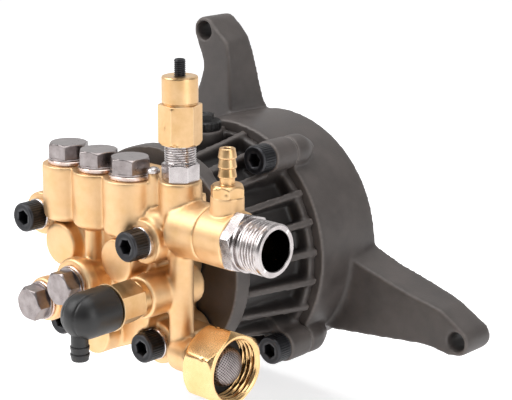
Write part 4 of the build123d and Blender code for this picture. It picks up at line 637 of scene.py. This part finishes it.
def inlet():
    """Tailpiece, swivel nut with rounded ends and a tapped hole, hose washer and filter dome, all
    along +X."""
    tail = [(5.6, 52.02), (7.8, 52.02), (8.6, 52.82), (8.6, 60.5), (9.0, 60.9), (11.6, 60.9),
            (12.0, 61.3), (12.0, 63.2), (11.7, 63.5), (5.9, 63.5), (5.6, 63.2), (5.6, 52.02)]
    gather("tailpiece", [placed(spin(tail, 0.4, 120), "+X", 0, COLUMN_Y, INLET_Z)],
           "turned_brass", "inlet_tailpiece")
    nut = [(8.65, 0), (13.6, 0), (15.2, 0.9), (16.2, 2.2), (16.6, 3.2), (16.9, 15.2),
           (16.2, 16.0), (15.2, 16.9), (14.4, 17.2), (13.6, 17.2), (12.9, 16.7), (12.6, 16.2),
           (12.6, 3.2), (8.65, 3.2), (8.65, 0)]
    knocks = dents(((124, 7.5, 0.45, 1.6, 0.55), (124.5, 5.6, 0.8, 0.5, 0.3),
                    (64, 10.0, 0.4, 1.1, 0.4), (184, 8.0, 0.45, 1.4, 0.5),
                    (244, 12.0, 0.5, 0.9, 0.4), (4, 5.0, 0.4, 1.0, 0.4)), least=13.5)
    form = joined(hexagon(29.6, 4, low=-0.01, high=17.3, soft=0.16, least=13.4), knocks,
                  thread(2.3, -1.0, low=4.4, high=17.4, least=12.4, most=12.75))
    gather("swivel_nut", [placed(spin(nut, 0.24, 216, form, 4), "+X", NUT_X, COLUMN_Y, INLET_Z)],
           "polished_brass", "inlet_swivel_nut", "inlet_nut")
    ring = washer(7.8, 12.3, 2.6, 0.5)
    gather("flat_washer", [placed(ring, "+X", HOSE_WASHER_X, COLUMN_Y, INLET_Z)],
           "seal_rubber", "inlet_hose_washer")
    dome = [(7.4, 0), (8.3, 0), (8.6, 0.3), (8.6, 0.8), (8.45, 2.6), (8.1, 3.8), (7.4, 4.8),
            (6.3, 5.6), (4.4, 6.4), (2.4, 6.85), (0, 7.0), (0, 6.4), (4.2, 5.9), (6.6, 4.6),
            (7.3, 3.2), (7.4, 0)]
    piece = gather("mesh_dome", [placed(spin(dome, 0.2, 264), "+X", FILTER_X, COLUMN_Y, INLET_Z)],
                   "ground_steel", "inlet_filter")
    weave(piece)
    piece.data.materials.append(WIRE_MESH)


def net_gaps(x, y, z):
    """A slanted net on the filter, one in its gaps and nought on its wires. The wires run where
    |sin(2.4 (y + z))| or |sin(2.4 (y - z))| is small, 0.93 mm apart, which is wider than real
    ones, so that they hold at this picture's size."""
    y, z = y - COLUMN_Y, z - INLET_Z
    one, other = np.abs(np.sin((y + z) * 2.4)), np.abs(np.sin((y - z) * 2.4))
    return np.clip(np.minimum(one, other) * 2.2 - 0.7, 0, 1) * (x > FILTER_X + 1.0)


def weave(piece):
    """Marks the net's gaps inside, for painted shade, and sinks them 0.1 mm along X."""
    mark_painted_shade(piece, net_gaps)
    mesh = piece.data
    place = vertex_places(mesh) / MM
    place[:, X] -= 0.1 * net_gaps(*place.T)
    mesh.vertices.foreach_set("co", (place * MM).ravel())
    mesh.update()


def relief():
    """Relief valve along -Y, and its elbow: a barrel with a domed end, and a barbed tail that
    points down."""
    across, turn = 15.8, 35
    corner = corner_radius(across)
    line = [(2.4, -10), (4.4, -10), (5.0, -9.4), (5.0, 0), (7.9, 0), (8.2, 0.3), (8.2, 2.8),
            (8.0, 3.0), (corner - 0.4, 3.0), (corner + 0.3, 3.5), (corner + 0.3, 15.9),
            (corner - 0.4, 16.4), (9.7, 16.4), (10.0, 16.55), (10.0, 16.8), (9.8, 16.9),
            (5.7, 16.9), (5.6, 17.1), (5.6, 24.5), (5.2, 24.9), (2.4, 24.9), (2.4, -10)]
    form = hexagon(across, turn, low=2.95, high=16.35, least=7.0)
    gather("relief_hexagon", [placed(spin(line, 0.35, 180, form, turn, plain=5.6), "-Y",
                                     RELIEF_X, RELIEF_Y, RELIEF_Z)],
           "turned_brass", "thermal_valve")
    end = [(ELBOW_RADIUS * cos(t), ELBOW_STRAIGHT + ELBOW_RADIUS * sin(t))
           for t in np.linspace(0, pi / 2, 22)]
    line = [(0, 8.2), (5.65, 8.2), (5.65, 0.4), (6.0, 0), (8.9, 0), (9.5, 0.3),
            (ELBOW_RADIUS, 0.9), *end]
    barrel = spin(line, 0.45, 200, plain=5.65)
    # two shallow mould seams run down the domed end, 3.3 mm each side of its middle
    seam = (np.exp(-((np.abs(barrel[..., 0]) - 3.3) / 0.35) ** 2)
            * np.clip((barrel[..., 2] - 9.0) / 4, 0, 1))
    outward = barrel - np.array([0.0, 0.0, ELBOW_STRAIGHT])
    outward /= np.maximum(np.linalg.norm(outward, axis=-1, keepdims=True), 1e-6)
    barrel = barrel - outward * (0.28 * seam)[..., None]
    tail = [(0, 0), (3.6, 0), (3.6, 12.0), (3.9, 12.0), (4.0, 12.15), (4.0, 12.5), (3.6, 15.0),
            (3.9, 15.1), (4.0, 15.25), (4.0, 15.6), (3.5, 18.0), (3.3, 18.2), (2.0, 18.2),
            (1.8, 18.0), (1.8, 6.0), (0, 6.0)]
    gather("elbow_cap", [placed(barrel, "-Y", RELIEF_X, ELBOW_Y, RELIEF_Z),
                         placed(spin(tail, 0.35, 96), "-Z",
                                RELIEF_X, ELBOW_Y - ELBOW_TAIL, RELIEF_Z)],
           "black_nylon", "thermal_elbow", "elbow")


castings()
plugs()
screws()
oil_plug()
bleed_screw()
unloader()
outlet()
barb()
inlet()
relief()

SLOTS = {row["node"]: row["material_slot"] for row in frame["record"]["subparts"]}
for name, node in NODES.items():
    node.data.materials.clear()
    node.data.materials.append(FINISHES[SLOTS[name]])
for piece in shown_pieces():
    if not piece.data.materials:
        piece.data.materials.append(FINISHES[piece["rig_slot"]])

# ---------------------------------------------------------------- camera
# fitted to the photograph: degrees to the side, above and of roll, place, and focal length in
# the photograph's pixels
ASIDE, ABOVE, ROLL = radians(42.1), radians(15.2), radians(0.34)
CAMERA_PLACE = (0.4886, -0.5608, 0.2134)
FOCAL_PIXELS, PHOTO_PIXELS, SENSOR = 1582.5, 512, 36.0

forward = Vector((-sin(ASIDE) * cos(ABOVE), cos(ASIDE) * cos(ABOVE), -sin(ABOVE)))
right = Vector((cos(ASIDE), sin(ASIDE), 0))
upward = right.cross(forward)
right, upward = (right * cos(ROLL) + upward * sin(ROLL),
                 upward * cos(ROLL) - right * sin(ROLL))
axes = Matrix((right, upward, -forward)).transposed().to_4x4()
camera = in_scene("camera", bpy.data.cameras.new("camera"))
camera.data.sensor_width = SENSOR
camera.data.lens = SENSOR * FOCAL_PIXELS / PHOTO_PIXELS
camera.matrix_world = Matrix.Translation(CAMERA_PLACE) @ axes
bpy.context.scene.camera = camera
bpy.context.scene.view_settings.view_transform = "Standard"

# ---------------------------------------------------------------- lamps and room
LAMP_AIM = Vector((0.01, -0.09, 0.0))
# name, place, width, height, watts
LAMPS = (("key", (-0.55, -0.75, 0.75), 0.7, 0.7, 8.0),
         ("top", (0.05, -0.1, 1.0), 0.8, 0.8, 5.5),
         ("side", (0.95, -0.15, 0.35), 0.5, 0.8, 3.0))
WHITE = (1, 1, 1, 1)
ROOM_GREYS = ((0.0, 0.14), (0.45, 0.26), (0.75, 0.80), (1.0, 0.90))  # behind the camera to ahead
ROOM_LIGHT = (0.30, 0.30, 0.31, 1)
CARD_WAY, CARD_EDGE, CARD_COLOUR = (-0.647, -0.716, -0.262), (0.90, 0.97), (1.15, 1.12, 1.12, 1)

for name, place, width, height, power in LAMPS:
    lamp = bpy.data.lights.new(name, "AREA")
    lamp.shape = "RECTANGLE"
    lamp.size, lamp.size_y, lamp.energy = width, height, power
    box = in_scene(name, lamp)
    box.location = place
    box.rotation_euler = (LAMP_AIM - Vector(place)).to_track_quat("-Z", "Y").to_euler()


def dot(tree, way, direction):
    """The dot product of two directions."""
    return add(tree, "VectorMath", {0: way, 1: direction}, operation="DOT_PRODUCT").outputs["Value"]


def larger(tree, one, other):
    """The larger of two values."""
    return add(tree, "Math", {0: one, 1: other}, operation="MAXIMUM").outputs[0]


world = bpy.data.worlds.new("studio")
bpy.context.scene.world = world
tree = blank_tree(world)
ray = add(tree, "LightPath").outputs
sharp = larger(tree, ray["Is Glossy Ray"], ray["Is Transmission Ray"])
way = add(tree, "TexCoord").outputs["Generated"]
# metal sees a pale room ahead and beside the pump and a darker one behind the camera
ahead = span(tree, dot(tree, way, tuple(forward)), -1.0, 1.0)
shade = add(tree, "ValToRGB", {"Fac": ahead}, stops=ROOM_GREYS).outputs["Color"]
# and a bright card low at the left front, which the front plugs' faces mirror
shade = mix(tree, span(tree, dot(tree, way, CARD_WAY), *CARD_EDGE), shade, CARD_COLOUR)
# matte surfaces take an even light, and the camera sees white
room = mix(tree, sharp, ROOM_LIGHT, shade)
seen = mix(tree, ray["Is Camera Ray"], room, WHITE)
back = add(tree, "Background", {"Color": seen, "Strength": 1.0})
add(tree, "OutputWorld", {"Surface": back.outputs[0]})

# ---------------------------------------------------------------- floor
FLOOR_Z, FLOOR_HALF = -77.3 * MM, 6.0
PAPER, GLOW = (0.95, 0.95, 0.95, 1), (0.60, 0.60, 0.60, 1)

floor = in_scene("floor", bpy.data.meshes.new("floor"))
floor.data.from_pydata([(-FLOOR_HALF, -FLOOR_HALF, FLOOR_Z), (FLOOR_HALF, -FLOOR_HALF, FLOOR_Z),
                        (FLOOR_HALF, FLOOR_HALF, FLOOR_Z), (-FLOOR_HALF, FLOOR_HALF, FLOOR_Z)],
                       [], [(0, 1, 2, 3)])
# white paper: takes the pump's shadow, and glows enough for a white ground
paper = bpy.data.materials.new("white paper floor")
tree = blank_tree(paper)
ray = add(tree, "LightPath").outputs
seen = larger(tree, ray["Is Camera Ray"], ray["Is Transmission Ray"])
seen = larger(tree, seen, ray["Is Glossy Ray"])
plain = add(tree, "BsdfDiffuse", {"Color": PAPER})
glow = add(tree, "Emission", {"Color": GLOW, "Strength": seen})
both = add(tree, "AddShader", {0: plain.outputs[0], 1: glow.outputs[0]})
add(tree, "OutputMaterial", {"Surface": both.outputs[0]})
floor.data.materials.append(paper)
